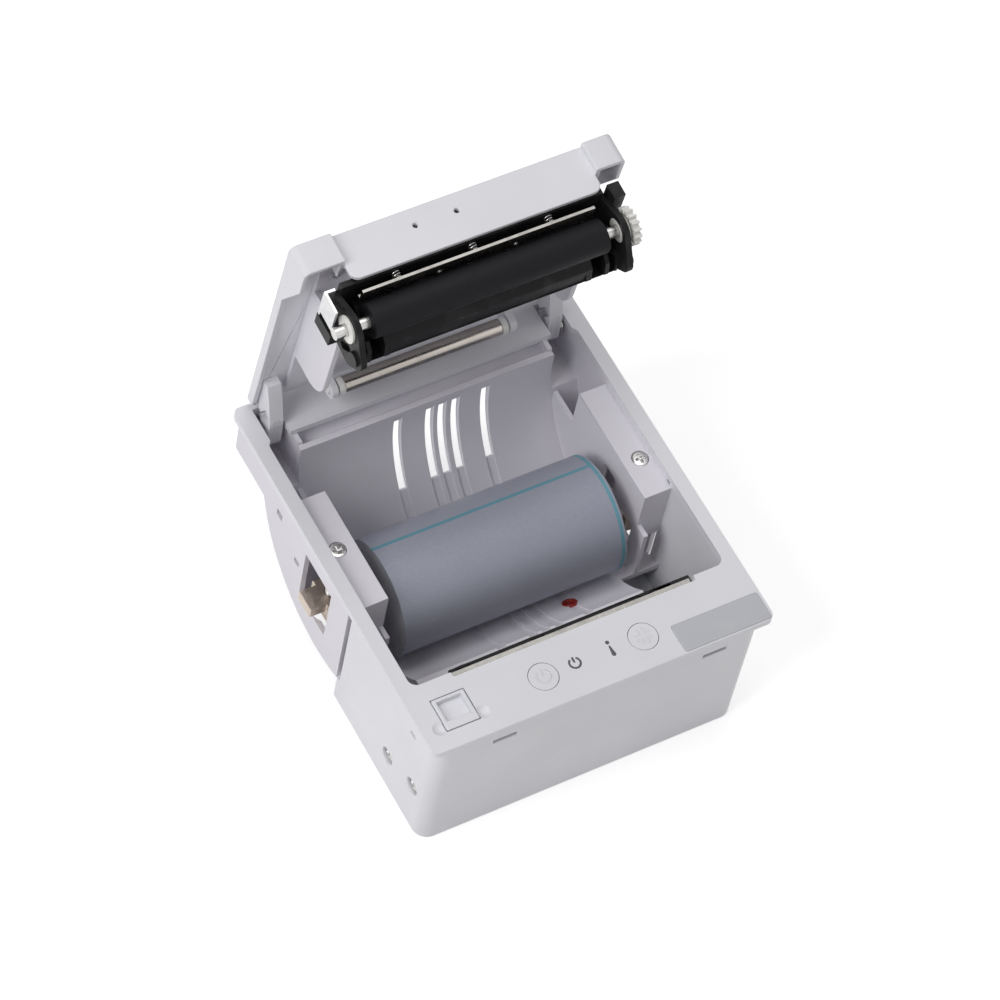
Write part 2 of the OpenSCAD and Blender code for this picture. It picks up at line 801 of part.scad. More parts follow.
module roll_core() {
    color("burlywood") difference() {
        bar_x(-roll_w/2, roll_w/2, roll_y, roll_z, core_d);
        bar_x(-roll_w/2 - cut, roll_w/2 + cut, roll_y, roll_z, core_d - 2*core_t);
    }
}

// ---------- lid ----------

// side view of the lid's skirt: low at the rear, deeper over the front stretch
module skirt_2d() {
    polygon([[lid_y0, lid_top], [lid_y1, lid_top], [lid_y1, lid_top - lid_skirt_h + 1],
        [lid_y1 - 3, lid_top - lid_skirt_h], [lid_y0 + 26, lid_top - lid_skirt_h],
        [lid_y0 + 11, lid_top - lid_block_h], [lid_y0, lid_top - lid_block_h]]);
}

module lid_cover() {
    color("white") opened() difference() {
        union() {
            // plate, set back between the end blocks
            translate([0, 0, lid_under]) linear_extrude(lid_t) difference() {
                round_rect(-lid_w, lid_y0, lid_w, lid_y1, 2.5);
                translate([lid_block_x0, lid_y0 - cut])
                    square([lid_block_x1 - lid_block_x0, lid_setback + cut]);
            }
            intersection() {
                both() along_x(lid_w - wall, lid_w) skirt_2d();
                translate([0, 0, -20]) linear_extrude(40) round_rect(-lid_w, lid_y0, lid_w, lid_y1, 2.5);
            }
            // end blocks
            end_block(-lid_w, lid_block_x0);
            end_block(lid_block_x1, lid_w);
            // front wall with rounded lower corners
            translate([0, lid_y0 + lid_setback + wall, 0]) rotate([90, 0, 0]) linear_extrude(wall)
                intersection() {
                    round_rect(lid_block_x0, lid_top - lid_front_h, lid_block_x1, lid_top + 8, 3);
                    translate([-60, -40]) square([120, 40 + lid_top]);
                }
        }
        // two small holes in the front wall
        for (x = [-15, -1]) translate([x, lid_y0, lid_top - 6]) rotate([-90, 0, 0])
            cylinder(h = 8, d = 1.6, $fn = fn);
        for (x = [-38, 38], y = [-25, 30]) translate([x, y, lid_under - cut])
            cylinder(h = cut + 1.5, d = 2, $fn = fn);
    }
}

module end_block(x0, x1) {
    translate([0, 0, lid_top - lid_block_h]) linear_extrude(lid_block_h - 0.5) difference() {
        intersection() {
            translate([x0, lid_y0]) square([x1 - x0, 9]);
            round_rect(-lid_w, lid_y0, lid_w, lid_y1, 2.5);
        }
        translate([x0 + wall, lid_y0 + wall]) square([x1 - x0 - 2*wall, 20]);
    }
}

module lid_liner() {
    color("white") opened() difference() {
        union() {
            box([-liner_w, lid_y0 + 9.2, liner_z], [liner_w, 45, lid_under]);
            // cheeks that keep the roll between them
            both() along_x(liner_w - 2, liner_w) hull() {
                translate([-16, liner_z]) square([40, 0.5]);
                translate([-9.5, -9.5]) circle(r = 8, $fn = 32);
                translate([16, -9.5]) circle(r = 8, $fn = 32);
            }
            // feet that carry the platen unit
            for (x = [-30, 0, 30]) box([x - 3, -26, bar_z1], [x + 3, -20, liner_z + 0.01]);
        }
        for (x = [-38, 38], y = [-25, 30]) translate([x, y, liner_z - cut])
            cylinder(h = 4, d = 2 + 2*slip, $fn = fn);
    }
}

module liner_screws() {
    color("silver") opened() for (x = [-38, 38], y = [-25, 30]) translate([x, y, 0]) difference() {
        union() {
            translate([0, 0, liner_z - 1]) cylinder(h = lid_under - liner_z + 2.4, d = 2, $fn = fn);
            translate([0, 0, liner_z - 1.3]) cylinder(h = 1.3, d = 4, $fn = fn);
        }
        translate([0, 0, liner_z - 2.7]) scale(0.7) cross_recess();
    }
}

// arm from the lid's underside down to the hinge pin: a web between two rails
module arm_2d(r) {
    hull() {
        translate([hinge_y, hinge_z]) circle(r = r, $fn = 48);
        translate([hinge_y - 9.5, hinge_z + 0.4]) circle(r = r*0.8, $fn = 32);
    }
    polygon([[hinge_y - 9, hinge_z - 3.2], [hinge_y - 9, lid_under - 1.6], [lid_y1 - 3, lid_under],
        [36, lid_under], [36, lid_under - 3], [42, lid_under - 6]]);
}

module hinge_arms() {
    color("white") opened() both() difference() {
        union() {
            along_x(arm_x0 + 1.5, arm_x1 - 1.5) arm_2d(4.1);
            for (x = [arm_x0, arm_x1 - 1.5]) along_x(x, x + 1.5) difference() {
                arm_2d(4.2);
                translate([hinge_y - 12, hinge_z - 1.6]) rotate(24) square([7, 3.2]);
            }
        }
        bar_x(0, 60, hinge_y, hinge_z, pin_d + 2*slip);
    }
}

module lid_springs() {
    color("silver") opened() both() translate([arm_x1 + 0.1, hinge_y, hinge_z]) rotate([0, 90, 0]) {
        coil(6.6, 0.7, 2.4, 3);
        translate([-2.6, -9.5, 0.35]) rotate([-90, 0, 0]) cylinder(h = 8.1, d = 0.5, $fn = 16);
    }
}

// ---------- platen unit on the lid ----------

module side_plate_2d() {
    hull() {
        translate([-34.6, -13]) square([14, 2]);
        translate([platen_y, platen_z]) circle(r = 6, $fn = 32);
        translate([-26, -30]) circle(r = 4, $fn = 32);
        translate([beam_y1 - 3.2, beam_z + 3.6]) circle(r = 3.2, $fn = 32);
    }
}

module platen_frame() {
    color([0.1, 0.1, 0.11]) opened() difference() {
        union() {
            // back plate, rear bar and front rail
            box([-plate_x, -38.9, bar_z0], [plate_x, -18.2, bar_z1]);
            difference() {
                along_x(-plate_x - 0.01, plate_x + 0.01) polygon([[beam_y0, bar_z0 + 0.01],
                    [beam_y0, beam_z + 3.5], [beam_y0 + 2, beam_z + 1], [beam_y1 - 1.5, beam_z],
                    [beam_y1, beam_z + 1.5], [beam_y1, bar_z0 + 0.01]]);
                // pockets between the beam's end ribs
                both() box([plate_x - 9, beam_y0 - cut, beam_z - cut], [plate_x - 4.5, beam_y1 - beam_wall, beam_z + 7]);
                both() box([plate_x - 3, beam_y0 - cut, beam_z - cut], [plate_x - 0.8, beam_y1 - beam_wall, beam_z + 9]);
                box([2 - plate_x + 9, beam_y0 + 2.6, beam_z - cut], [plate_x - 11, beam_y1 - beam_wall, beam_z + 0.8]);
            }
            // housing over the gear
            box([plate_x + plate_t - 0.01, -39.6, gear_cover_z], [gear_cover_x, -30, bar_z1]);
            for (x = [-39:13:39]) box([x - 0.8, -27.8, -20.5], [x + 0.8, -26.5, bar_z0]);
            both() along_x(plate_x, plate_x + plate_t) side_plate_2d();
            // ribs around the shaft's seats
            both() bar_x(plate_x + plate_t - 0.01, plate_x + plate_t + 1, -26, -30, 5);
            both() box([plate_x + plate_t - 0.01, -24.5, -20], [plate_x + plate_t + 3, -19, bar_z1]);
        }
        bar_x(-60, 60, platen_y, platen_z, 8);
        for (x = blade_spring_xs) translate([x, blade_spring_y, bar_z0 - cut]) cylinder(h = 1.6, d = 4.4, $fn = fn);
        // oval hole near the lower end of each side plate
        both() along_x(plate_x - cut, plate_x + 2*plate_t) hull() {
            translate([-25, -25.6]) circle(r = 1.4, $fn = 32);
            translate([-22.6, -23]) circle(r = 1.4, $fn = 32);
        }
    }
}

module platen_bushings() {
    color("white") opened() both() difference() {
        union() {
            bar_x(plate_x + gap, plate_x + plate_t, platen_y, platen_z, 8);
            bar_x(plate_x + plate_t, plate_x + plate_t + 1, platen_y, platen_z, 9);
        }
        bar_x(0, 60, platen_y, platen_z, shaft_d + 2*slip);
    }
}

module platen_rubber() {
    color([0.13, 0.13, 0.15]) opened() difference() {
        bar_x(-rubber_w/2, rubber_w/2, platen_y, platen_z, rubber_d);
        bar_x(-rubber_w/2 - cut, rubber_w/2 + cut, platen_y, platen_z, shaft_d);
    }
}

module platen_shaft() {
    color("silver") opened() bar_x(-shaft_x, shaft_x, platen_y, platen_z, shaft_d);
}

module platen_gear() {
    color("white") opened() translate([plate_x + plate_t + 1.3, platen_y, platen_z]) rotate([0, 90, 0]) difference() {
        union() {
            linear_extrude(2.6) gear_2d(16, 0.7, 0);
            cylinder(h = 3.2, d = 7, $fn = fn);
        }
        translate([0, 0, -cut]) cylinder(h = 10, d = shaft_d + 0.02, $fn = fn);
    }
}

module fixed_blade() {
    color("gray") opened() difference() {
        union() {
            box([-blade_end, -39.4, blade_z - blade_t - 0.1], [blade_end, -33.8, blade_z - 0.1]);
            for (s = [-1, 1])
                box([s*(blade_end - 2) - 2, -35, blade_z - 0.11], [s*(blade_end - 2) + 2, -33.8, blade_z + 1]);
        }
        for (x = [-13, 13]) translate([x, -35.2, -20]) cylinder(h = 8, d = 1.6, $fn = fn);
    }
}

module blade_springs() {
    color("silver") opened() for (x = blade_spring_xs)
        translate([x, blade_spring_y, blade_z - 0.1]) coil(3.4, 0.5, bar_z0 + 0.6 - blade_z + 0.1, 4);
}

module latch_bracket() {
    color("lightgray") opened() difference() {
        union() {
            box([-50.2, -39, -13], [-plate_x - plate_t, -26.5, -12]);
            box([-50.2, -39, -20], [-49.4, -28.5, -12]);
        }
        translate([-48.2, -30, -14]) cylinder(h = 4, d = 1.6, $fn = fn);
    }
}

module guide_brackets() {
    color("white") opened() both() difference() {
        along_x(guide_len/2 + 0.5, guide_len/2 + 3) union() {
            translate([guide_y - 3, guide_z]) square([6, liner_z - guide_z]);
            translate([guide_y, guide_z]) circle(r = 3, $fn = 48);
        }
        bar_x(0, 60, guide_y, guide_z, 2 + 2*slip);
    }
}

module guide_roller() {
    color("silver") opened() difference() {
        bar_x(-guide_len/2 + 2, guide_len/2 - 2, guide_y, guide_z, guide_d);
        bar_x(-60, 60, guide_y, guide_z, 4);
    }
}

module guide_ends() {
    color("white") opened() both() {
        bar_x(guide_len/2 - 6, guide_len/2 - 2, guide_y, guide_z, 4);
        bar_x(guide_len/2 - 2, guide_len/2, guide_y, guide_z, guide_d + 0.4);
        bar_x(guide_len/2 - 0.01, guide_len/2 + 3.4, guide_y, guide_z, 2);
    }
}

bezel();
front_case();
paper_bucket();
nameplate();
light_pipes();
button_board();
tact_switches();
release_spring();
mech_frame();
lower_guide();
thermal_head();
heat_sink();
head_springs();
head_cable();
cutter_frame();
cutter_cover();
cutter_motor();
feed_motor();
main_board();
data_socket();
power_socket();
paper_sensor();
side_screws();
hinge_pins();
release_button();
power_button();
feed_button();
latch_shaft();
latch_hooks();
cutter_blade();
cutter_pinion();
feed_pinion();
idler_gear();
left_clamp_screw();
right_clamp_screw();
left_clamp();
right_clamp();
paper_roll();
roll_core();
lid_cover();
lid_liner();
liner_screws();
hinge_arms();
lid_springs();
platen_frame();
platen_bushings();
fixed_blade();
blade_springs();
latch_bracket();
guide_brackets();
guide_roller();
guide_ends();
platen_rubber();
platen_shaft();
platen_gear();
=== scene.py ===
"""Looks of a panel-mount receipt printer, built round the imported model.

Blender's units are metres, with +X to the right, +Y to the rear and +Z up. The shape functions take
their sizes and places in millimetres, as the part's source has them, and return metres.
"""

import json
import math

import bmesh
import bpy
import numpy as np
from mathutils import Matrix, Vector

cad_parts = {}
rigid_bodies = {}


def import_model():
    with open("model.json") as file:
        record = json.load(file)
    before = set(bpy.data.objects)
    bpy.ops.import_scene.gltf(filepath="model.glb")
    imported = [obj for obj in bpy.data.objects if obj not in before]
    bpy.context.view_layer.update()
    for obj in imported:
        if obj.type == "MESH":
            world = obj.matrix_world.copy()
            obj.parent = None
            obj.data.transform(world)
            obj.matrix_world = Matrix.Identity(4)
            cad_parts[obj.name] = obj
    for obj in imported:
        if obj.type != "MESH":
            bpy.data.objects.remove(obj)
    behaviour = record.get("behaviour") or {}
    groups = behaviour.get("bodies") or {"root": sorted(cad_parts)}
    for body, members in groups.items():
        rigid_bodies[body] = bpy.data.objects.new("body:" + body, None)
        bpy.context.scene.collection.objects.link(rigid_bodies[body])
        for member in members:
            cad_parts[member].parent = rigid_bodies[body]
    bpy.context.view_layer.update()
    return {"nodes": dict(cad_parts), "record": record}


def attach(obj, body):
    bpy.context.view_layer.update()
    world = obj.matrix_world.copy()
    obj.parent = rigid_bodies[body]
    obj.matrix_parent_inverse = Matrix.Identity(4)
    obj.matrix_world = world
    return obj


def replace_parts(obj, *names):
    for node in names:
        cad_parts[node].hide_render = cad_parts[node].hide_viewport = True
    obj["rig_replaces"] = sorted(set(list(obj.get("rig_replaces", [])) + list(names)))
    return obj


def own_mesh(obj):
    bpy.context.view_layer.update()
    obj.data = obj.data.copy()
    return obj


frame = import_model()

MM = 0.001
FULL_TURN = 2 * np.pi

# ---------- camera ----------

CAMERA_AZIMUTH = -39.793
CAMERA_ELEVATION = 56.286
CAMERA_ROLL = 13.575
CAMERA_DISTANCE = 1514.49 * MM
CAMERA_AIM = (0.39 * MM, 5.45 * MM)
CAMERA_LENS = 175.84
CAMERA_REACH = (0.05, 20.0)
SENSOR = 36.0


def make_camera():
    """The camera looks back along the direction given by azimuth and elevation, turned by roll about
    its own axis. It stands at the distance from the origin along that direction, shifted in the
    picture plane by the aim's offset.
    """
    az, el, roll = map(math.radians, (CAMERA_AZIMUTH, CAMERA_ELEVATION, CAMERA_ROLL))
    back = Vector((math.sin(az) * math.cos(el), -math.cos(az) * math.cos(el), math.sin(el)))
    level = (-back).cross(Vector((0, 0, 1))).normalized()
    rise = level.cross(-back)
    right = math.cos(roll) * level + math.sin(roll) * rise
    up = math.cos(roll) * rise - math.sin(roll) * level
    spot = -CAMERA_AIM[0] * right + CAMERA_AIM[1] * up + CAMERA_DISTANCE * back
    data = bpy.data.cameras.new("camera")
    data.sensor_width = SENSOR
    data.lens = CAMERA_LENS
    data.clip_start, data.clip_end = CAMERA_REACH
    camera = bpy.data.objects.new("camera", data)
    turn = Matrix((right, up, back)).transposed().to_4x4()
    camera.matrix_world = Matrix.Translation(spot) @ turn
    bpy.context.scene.collection.objects.link(camera)
    bpy.context.scene.camera = camera


make_camera()
bpy.context.scene.view_settings.view_transform = "Standard"

# ---------- node trees ----------


def put(tree, kind, sockets=None, **settings):
    """Adds a node. sockets gives each input by name or number: a value, or an output to link."""
    made = tree.nodes.new("ShaderNode" + kind)
    for key, value in settings.items():
        setattr(made, key, value)
    for key, value in (sockets or {}).items():
        if isinstance(value, bpy.types.NodeSocket):
            tree.links.new(value, made.inputs[key])
        else:
            made.inputs[key].default_value = value
    return made


def calc(tree, operation, *values, clamp=False):
    """A Math node's result."""
    made = put(tree, "Math", dict(enumerate(values)), operation=operation, use_clamp=clamp)
    return made.outputs[0]


def swing(tree, value, amount, base):
    """base plus amount times what value, which lies between 0 and 1, is above a half."""
    return calc(tree, "MULTIPLY_ADD", calc(tree, "SUBTRACT", value, 0.5), amount, base)


def band(tree, value, low, high, to_low=0.0, to_high=1.0):
    """value from low..high mapped smoothly to to_low..to_high."""
    made = put(
        tree,
        "MapRange",
        {"Value": value, "From Min": low, "From Max": high, "To Min": to_low, "To Max": to_high},
        interpolation_type="SMOOTHSTEP",
    )
    return made.outputs["Result"]


def here(tree):
    """The point on the surface, in the piece's own coordinates, which are the object's metres."""
    return put(tree, "TexCoord").outputs["Object"]


def stretched(tree, vector, by):
    """The vector with each of its axes multiplied by its own factor."""
    return put(tree, "VectorMath", {0: vector, 1: by}, operation="MULTIPLY").outputs[0]


def shaded(tree, colour, by):
    """The colour made darker or lighter by a factor."""
    return put(tree, "VectorMath", {0: colour, "Scale": by}, operation="SCALE").outputs[0]


def noise(tree, vector, scale=1.0, detail=3.0, roughness=0.5):
    """Cloudy noise between 0 and 1, with scale cells to a metre of the vector."""
    sockets = {"Vector": vector, "Scale": scale, "Detail": detail, "Roughness": roughness}
    return put(tree, "TexNoise", sockets).outputs["Fac"]


def blend_colour(tree, fac, a, b, mode="MIX"):
    """Colour a turned into b, or blended with it in the given mode, by the factor."""
    first, second = 6, 7
    sockets = {"Factor": fac, first: a, second: b}
    return put(tree, "Mix", sockets, data_type="RGBA", blend_type=mode).outputs[2]


def bumped(tree, strength, distance, height):
    """The normal of a surface that the height raises by at most the distance."""
    return put(tree, "Bump", {"Strength": strength, "Distance": distance, "Height": height}).outputs[0]


def rgba(colour):
    return (*colour, 1.0)


def new_group(name, inputs, outputs):
    """An empty shader group with its named sockets, and its input and output nodes."""
    tree = bpy.data.node_groups.new(name, "ShaderNodeTree")
    for label, kind, value in inputs:
        made = tree.interface.new_socket(label, in_out="INPUT", socket_type="NodeSocket" + kind)
        made.default_value = value
    for label, kind in outputs:
        tree.interface.new_socket(label, in_out="OUTPUT", socket_type="NodeSocket" + kind)
    return tree, tree.nodes.new("NodeGroupInput").outputs, tree.nodes.new("NodeGroupOutput").inputs


def new_material(name):
    """A new material, with its tree and its Principled BSDF."""
    material = bpy.data.materials.new(name)
    material.use_nodes = True
    return material, material.node_tree, material.node_tree.nodes["Principled BSDF"]


SKIN_OUT = (("Color", "Color"), ("Roughness", "Float"), ("Normal", "Vector"))
# Paler tint screened onto the spots: rubbed wear, and on moulded corners a painted highlight
WEAR_AND_HIGHLIGHT_TINT = (0.5, 0.5, 0.5)


def moulded_group():
    """Spark-eroded mould skin: fine grain in the bump, cloudy gloss from handling, faint drift of the
    colour, and paler, smoother spots where its last input is above 0: rubbed wear, and on the corner
    finish a painted highlight too.
    """
    tree, given, result = new_group(
        "moulded skin",
        (
            ("Color", "Color", (0.8, 0.8, 0.8, 1)),
            ("Roughness", "Float", 0.45),
            ("Grain", "Float", 2600.0),
            ("Depth", "Float", 0.25),
            ("Wear and highlight", "Float", 0.0),
        ),
        SKIN_OUT,
    )
    spot = here(tree)
    cloud = noise(tree, spot, scale=24.0)
    patch = noise(tree, spot, scale=85.0, detail=5.0, roughness=0.62)
    grain = noise(tree, spot, scale=given["Grain"], detail=2.0)
    cells = put(tree, "TexVoronoi", {"Vector": spot, "Scale": given["Grain"]}, feature="SMOOTH_F1")
    # Patches paled towards the tint: rubbed wear on faces, and on the corner finish also a painted edge
    # highlight
    wear_and_highlight_spots = calc(tree, "MULTIPLY", band(tree, patch, 0.5, 0.72), given["Wear and highlight"])

    tint = shaded(tree, given["Color"], band(tree, cloud, 0.3, 0.7, 0.965, 1.02))
    paler = blend_colour(tree, wear_and_highlight_spots, tint, rgba(WEAR_AND_HIGHLIGHT_TINT), "SCREEN")
    tree.links.new(blend_colour(tree, 0.35, tint, paler), result["Color"])

    gloss = swing(tree, patch, 0.22, given["Roughness"])
    gloss = swing(tree, grain, 0.12, gloss)
    gloss = calc(tree, "MULTIPLY_ADD", wear_and_highlight_spots, -0.14, gloss, clamp=True)
    tree.links.new(gloss, result["Roughness"])

    height = calc(tree, "MULTIPLY_ADD", cells.outputs["Distance"], 0.6, grain)
    unworn = calc(tree, "SUBTRACT", 1.0, calc(tree, "MULTIPLY", wear_and_highlight_spots, 0.7))
    strength = calc(tree, "MULTIPLY", given["Depth"], unworn)
    tree.links.new(bumped(tree, strength, 0.06 * MM, height), result["Normal"])
    return tree


def drawn_group():
    """Drawn, ground or rolled stock: fine lines along one axis, because Lines squeezes the noise on
    the other two, with scattered scratches and cloudy tarnish.
    """
    tree, given, result = new_group(
        "drawn metal",
        (
            ("Color", "Color", (0.6, 0.6, 0.6, 1)),
            ("Roughness", "Float", 0.3),
            ("Lines", "Vector", (20.0, 3000.0, 3000.0)),
            ("Depth", "Float", 0.3),
            ("Tarnish", "Float", 0.3),
        ),
        SKIN_OUT,
    )
    spot = here(tree)
    along = stretched(tree, spot, given["Lines"])
    lines = noise(tree, along, detail=4.0, roughness=0.6)
    scratch = band(tree, noise(tree, along, scale=0.21, detail=2.0), 0.62, 0.7)
    cloud = noise(tree, spot, scale=140.0, detail=4.0, roughness=0.6)
    dull = calc(tree, "MULTIPLY", band(tree, cloud, 0.45, 0.75), given["Tarnish"])

    shade = swing(tree, lines, 0.35, 1.0)
    shade = calc(tree, "MULTIPLY_ADD", dull, -0.35, shade)
    shade = calc(tree, "MULTIPLY_ADD", scratch, 0.12, shade)
    tree.links.new(shaded(tree, given["Color"], shade), result["Color"])

    gloss = swing(tree, lines, 0.3, given["Roughness"])
    gloss = calc(tree, "MULTIPLY_ADD", dull, 0.3, gloss, clamp=True)
    tree.links.new(gloss, result["Roughness"])

    tree.links.new(bumped(tree, given["Depth"], 0.03 * MM, lines), result["Normal"])
    return tree


MOULDED = moulded_group()
DRAWN = drawn_group()


def finish_of(name, group, colour, roughness, values, shader):
    """A material: the group's colour, roughness and normal on a Principled BSDF, whose other
    sockets are set plainly.
    """
    material, tree, principled = new_material(name)
    skin = put(tree, "Group", node_tree=group)
    skin.inputs["Color"].default_value = rgba(colour)
    skin.inputs["Roughness"].default_value = roughness
    for key, value in values.items():
        skin.inputs[key].default_value = value
    for socket, target in (("Color", "Base Color"), ("Roughness", "Roughness"), ("Normal", "Normal")):
        tree.links.new(skin.outputs[socket], principled.inputs[target])
    for key, value in shader.items():
        principled.inputs[key.replace("_", " ")].default_value = value
    return material


def plastic(name, colour, roughness, grain, depth, wear_and_highlight=0.0, **shader):
    """A moulded material with grain cells to the metre, a bump of that depth, and paler spots of rubbed
    wear, which on a corner finish also paint a highlight.
    """
    values = {"Grain": grain, "Depth": depth, "Wear and highlight": wear_and_highlight}
    return finish_of(name, MOULDED, colour, roughness, values, shader)


def lined(name, colour, roughness, lines, depth, tarnish, **shader):
    """A material with fine lines along the axis whose number in lines is low."""
    values = {"Lines": lines, "Depth": depth, "Tarnish": tarnish}
    return finish_of(name, DRAWN, colour, roughness, values, shader)


def metal(name, colour, roughness, lines, depth, tarnish):
    """The same, as bare metal."""
    return lined(name, colour, roughness, lines, depth, tarnish, Metallic=1.0)


def with_worn_highlit_edge(name, colour, roughness, grain, depth, wear_and_highlight, **shader):
    """Two finishes of one moulding: its faces, and its smoother corners, paler in patches from rubbed wear
    and a painted edge highlight.
    """
    face = plastic(name, colour, roughness, grain, depth, wear_and_highlight * 0.4, **shader)
    # The corner finish takes the full paling: rubbed wear and a painted edge highlight
    edge = plastic(name + " edge", colour, roughness - 0.08, grain, depth * 0.35, wear_and_highlight, **shader)
    return face, edge


# ---------- the paper's finish ----------

ROLL_Y, ROLL_Z = 2.5 * MM, -25.4 * MM
ROLL_R, ROLL_HALF = 19.5 * MM, 39.75 * MM

# Where each soft edge of the printed line and ring starts and ends: the line round the axis, in
# radians from its middle, and the ring and the line's end along the axis, in metres
LINE_ANGLE = 1.2
LINE_FADE = (0.031, 0.039)
LINE_END = (38.2 * MM, 38.4 * MM)
RING_START = (37.8 * MM, 37.95 * MM)
RING_END = (39.0 * MM, 39.2 * MM)
RING_WOBBLE = 0.05 * MM
SKIN_DEPTH = (0.5 * MM, 0.3 * MM)
LAYERS_TO_THE_METRE = 9000.0

TEAL = (0.08, 0.33, 0.42)
DULL_TEAL = (0.10, 0.30, 0.36)
SHEET = (0.33, 0.345, 0.42)
PALE_SHEET = (0.37, 0.385, 0.46)
CLOUDED_SHEET = (0.30, 0.315, 0.39)
LAYER_GAP = (0.33, 0.335, 0.36)
LAYER_EDGE = (0.52, 0.52, 0.55)
INK_COVER = 0.8


def printed_mark(tree, centred, reach, around):
    """1 on the thin coloured line along the roll and on the ring that it meets near the right end."""
    wobble = calc(tree, "MULTIPLY_ADD", noise(tree, centred, scale=300.0), RING_WOBBLE, reach)
    ring = calc(
        tree, "MULTIPLY", band(tree, wobble, *RING_START), band(tree, wobble, *RING_END, 1.0, 0.0)
    )
    off_line = calc(tree, "ABSOLUTE", calc(tree, "SUBTRACT", around, LINE_ANGLE))
    line = band(tree, off_line, *LINE_FADE, 1.0, 0.0)
    line = calc(tree, "MULTIPLY", line, band(tree, reach, *LINE_END, 1.0, 0.0))
    return calc(tree, "MAXIMUM", ring, line)


def paper_finish():
    """Coated paper: fibre in bump and colour, faint wound rings on the end faces, and a thin coloured
    line along the roll that meets a ring near its right edge.
    """
    material, tree, principled = new_material("paper")
    centred = put(tree, "Mapping", {"Vector": here(tree), "Location": (0, -ROLL_Y, -ROLL_Z)}).outputs[0]
    x, y, z = put(tree, "SeparateXYZ", {0: centred}).outputs
    squares = calc(tree, "ADD", calc(tree, "MULTIPLY", y, y), calc(tree, "MULTIPLY", z, z))
    radius = calc(tree, "SQRT", squares)
    around = calc(tree, "ARCTAN2", z, y)
    skin = band(tree, radius, ROLL_R - SKIN_DEPTH[0], ROLL_R - SKIN_DEPTH[1])
    end = calc(tree, "SUBTRACT", 1.0, skin)
    mark = calc(tree, "MULTIPLY", printed_mark(tree, centred, x, around), skin)
    fibre = noise(tree, stretched(tree, centred, (700.0, 2600.0, 2600.0)), detail=5.0, roughness=0.65)
    outwards = put(tree, "CombineXYZ", {0: calc(tree, "MULTIPLY", radius, LAYERS_TO_THE_METRE)}).outputs[0]
    windings = noise(tree, outwards, detail=2.0)
    cloud = noise(tree, centred, scale=30.0, detail=2.0)

    plain = blend_colour(tree, band(tree, fibre, 0.35, 0.65), rgba(SHEET), rgba(PALE_SHEET))
    clouded = band(tree, cloud, 0.3, 0.7, 0.0, 0.35)
    plain = blend_colour(tree, clouded, plain, rgba(CLOUDED_SHEET))
    layered = band(tree, windings, 0.35, 0.65)
    wound = blend_colour(tree, layered, rgba(LAYER_GAP), rgba(LAYER_EDGE))
    base = blend_colour(tree, skin, wound, plain)
    faded = band(tree, fibre, 0.3, 0.7, 0.0, 0.5)
    ink = blend_colour(tree, faded, rgba(TEAL), rgba(DULL_TEAL))
    inked = blend_colour(tree, calc(tree, "MULTIPLY", mark, INK_COVER), base, ink)
    tree.links.new(inked, principled.inputs["Base Color"])
    tree.links.new(swing(tree, fibre, 0.15, 0.52), principled.inputs["Roughness"])

    raised = calc(tree, "MULTIPLY", windings, end)
    height = calc(tree, "ADD", calc(tree, "MULTIPLY", fibre, skin), raised)
    tree.links.new(bumped(tree, 0.22, 0.05 * MM, height), principled.inputs["Normal"])
    return material


# ---------- the circuit boards' finish ----------

SOLDER_MASK = (0.012, 0.09, 0.045)
MASKED_TRACK = (0.03, 0.17, 0.08)
TINNED_PAD = (0.62, 0.6, 0.52)


def board_finish():
    """Solder mask over copper: tracks as thresholded stretched noise in two directions, round pads
    from a cell pattern, and the weave of the laminate in the bump.
    """
    material, tree, principled = new_material("board")
    spot = here(tree)
    across = noise(tree, stretched(tree, spot, (90.0, 900.0, 90.0)), detail=0.0)
    along = noise(tree, stretched(tree, spot, (900.0, 90.0, 90.0)), detail=0.0)
    tracks = calc(tree, "MAXIMUM", band(tree, across, 0.54, 0.56), band(tree, along, 0.58, 0.6))
    cells = put(tree, "TexVoronoi", {"Vector": spot, "Scale": 330.0})
    pads = band(tree, cells.outputs["Distance"], 0.16, 0.2, 1.0, 0.0)
    weave = noise(tree, spot, scale=2400.0, detail=2.0)

    mask = blend_colour(tree, tracks, rgba(SOLDER_MASK), rgba(MASKED_TRACK))
    tree.links.new(blend_colour(tree, pads, mask, rgba(TINNED_PAD)), principled.inputs["Base Color"])
    tree.links.new(calc(tree, "MULTIPLY", pads, 0.9), principled.inputs["Metallic"])
    gloss = calc(tree, "MULTIPLY_ADD", weave, 0.2, 0.25)
    tree.links.new(gloss, principled.inputs["Roughness"])

    height = calc(tree, "MULTIPLY_ADD", tracks, 0.8, calc(tree, "MULTIPLY", weave, 0.4))
    tree.links.new(bumped(tree, 0.4, 0.06 * MM, height), principled.inputs["Normal"])
    return material


# ---------- the finish of each material slot ----------

WHITE = (0.775, 0.775, 0.815)
SHELL = (0.775, 0.755, 0.81)
BLACK = (0.011, 0.011, 0.012)
ICON_INK = (0.03, 0.03, 0.034)
PLATE_GREY = (0.51, 0.515, 0.55)
IVORY = (0.84, 0.83, 0.80)
SENSOR_RED = (0.5, 0.04, 0.03)
CERAMIC = (0.6, 0.52, 0.38)
FLEX_AMBER = (0.26, 0.1, 0.02)
CARDBOARD = (0.42, 0.3, 0.17)
RUBBER = (0.009, 0.009, 0.011)
SPRING_STEEL = (0.58, 0.57, 0.56)
ALUMINIUM = (0.66, 0.66, 0.67)
BLADE_STEEL = (0.27, 0.26, 0.245)
MOTOR_STEEL = (0.3, 0.3, 0.31)
TINNED_SHEET = (0.7, 0.69, 0.67)
CAST_BRASS = (0.56, 0.48, 0.41)
CHROME = (0.42, 0.385, 0.355)

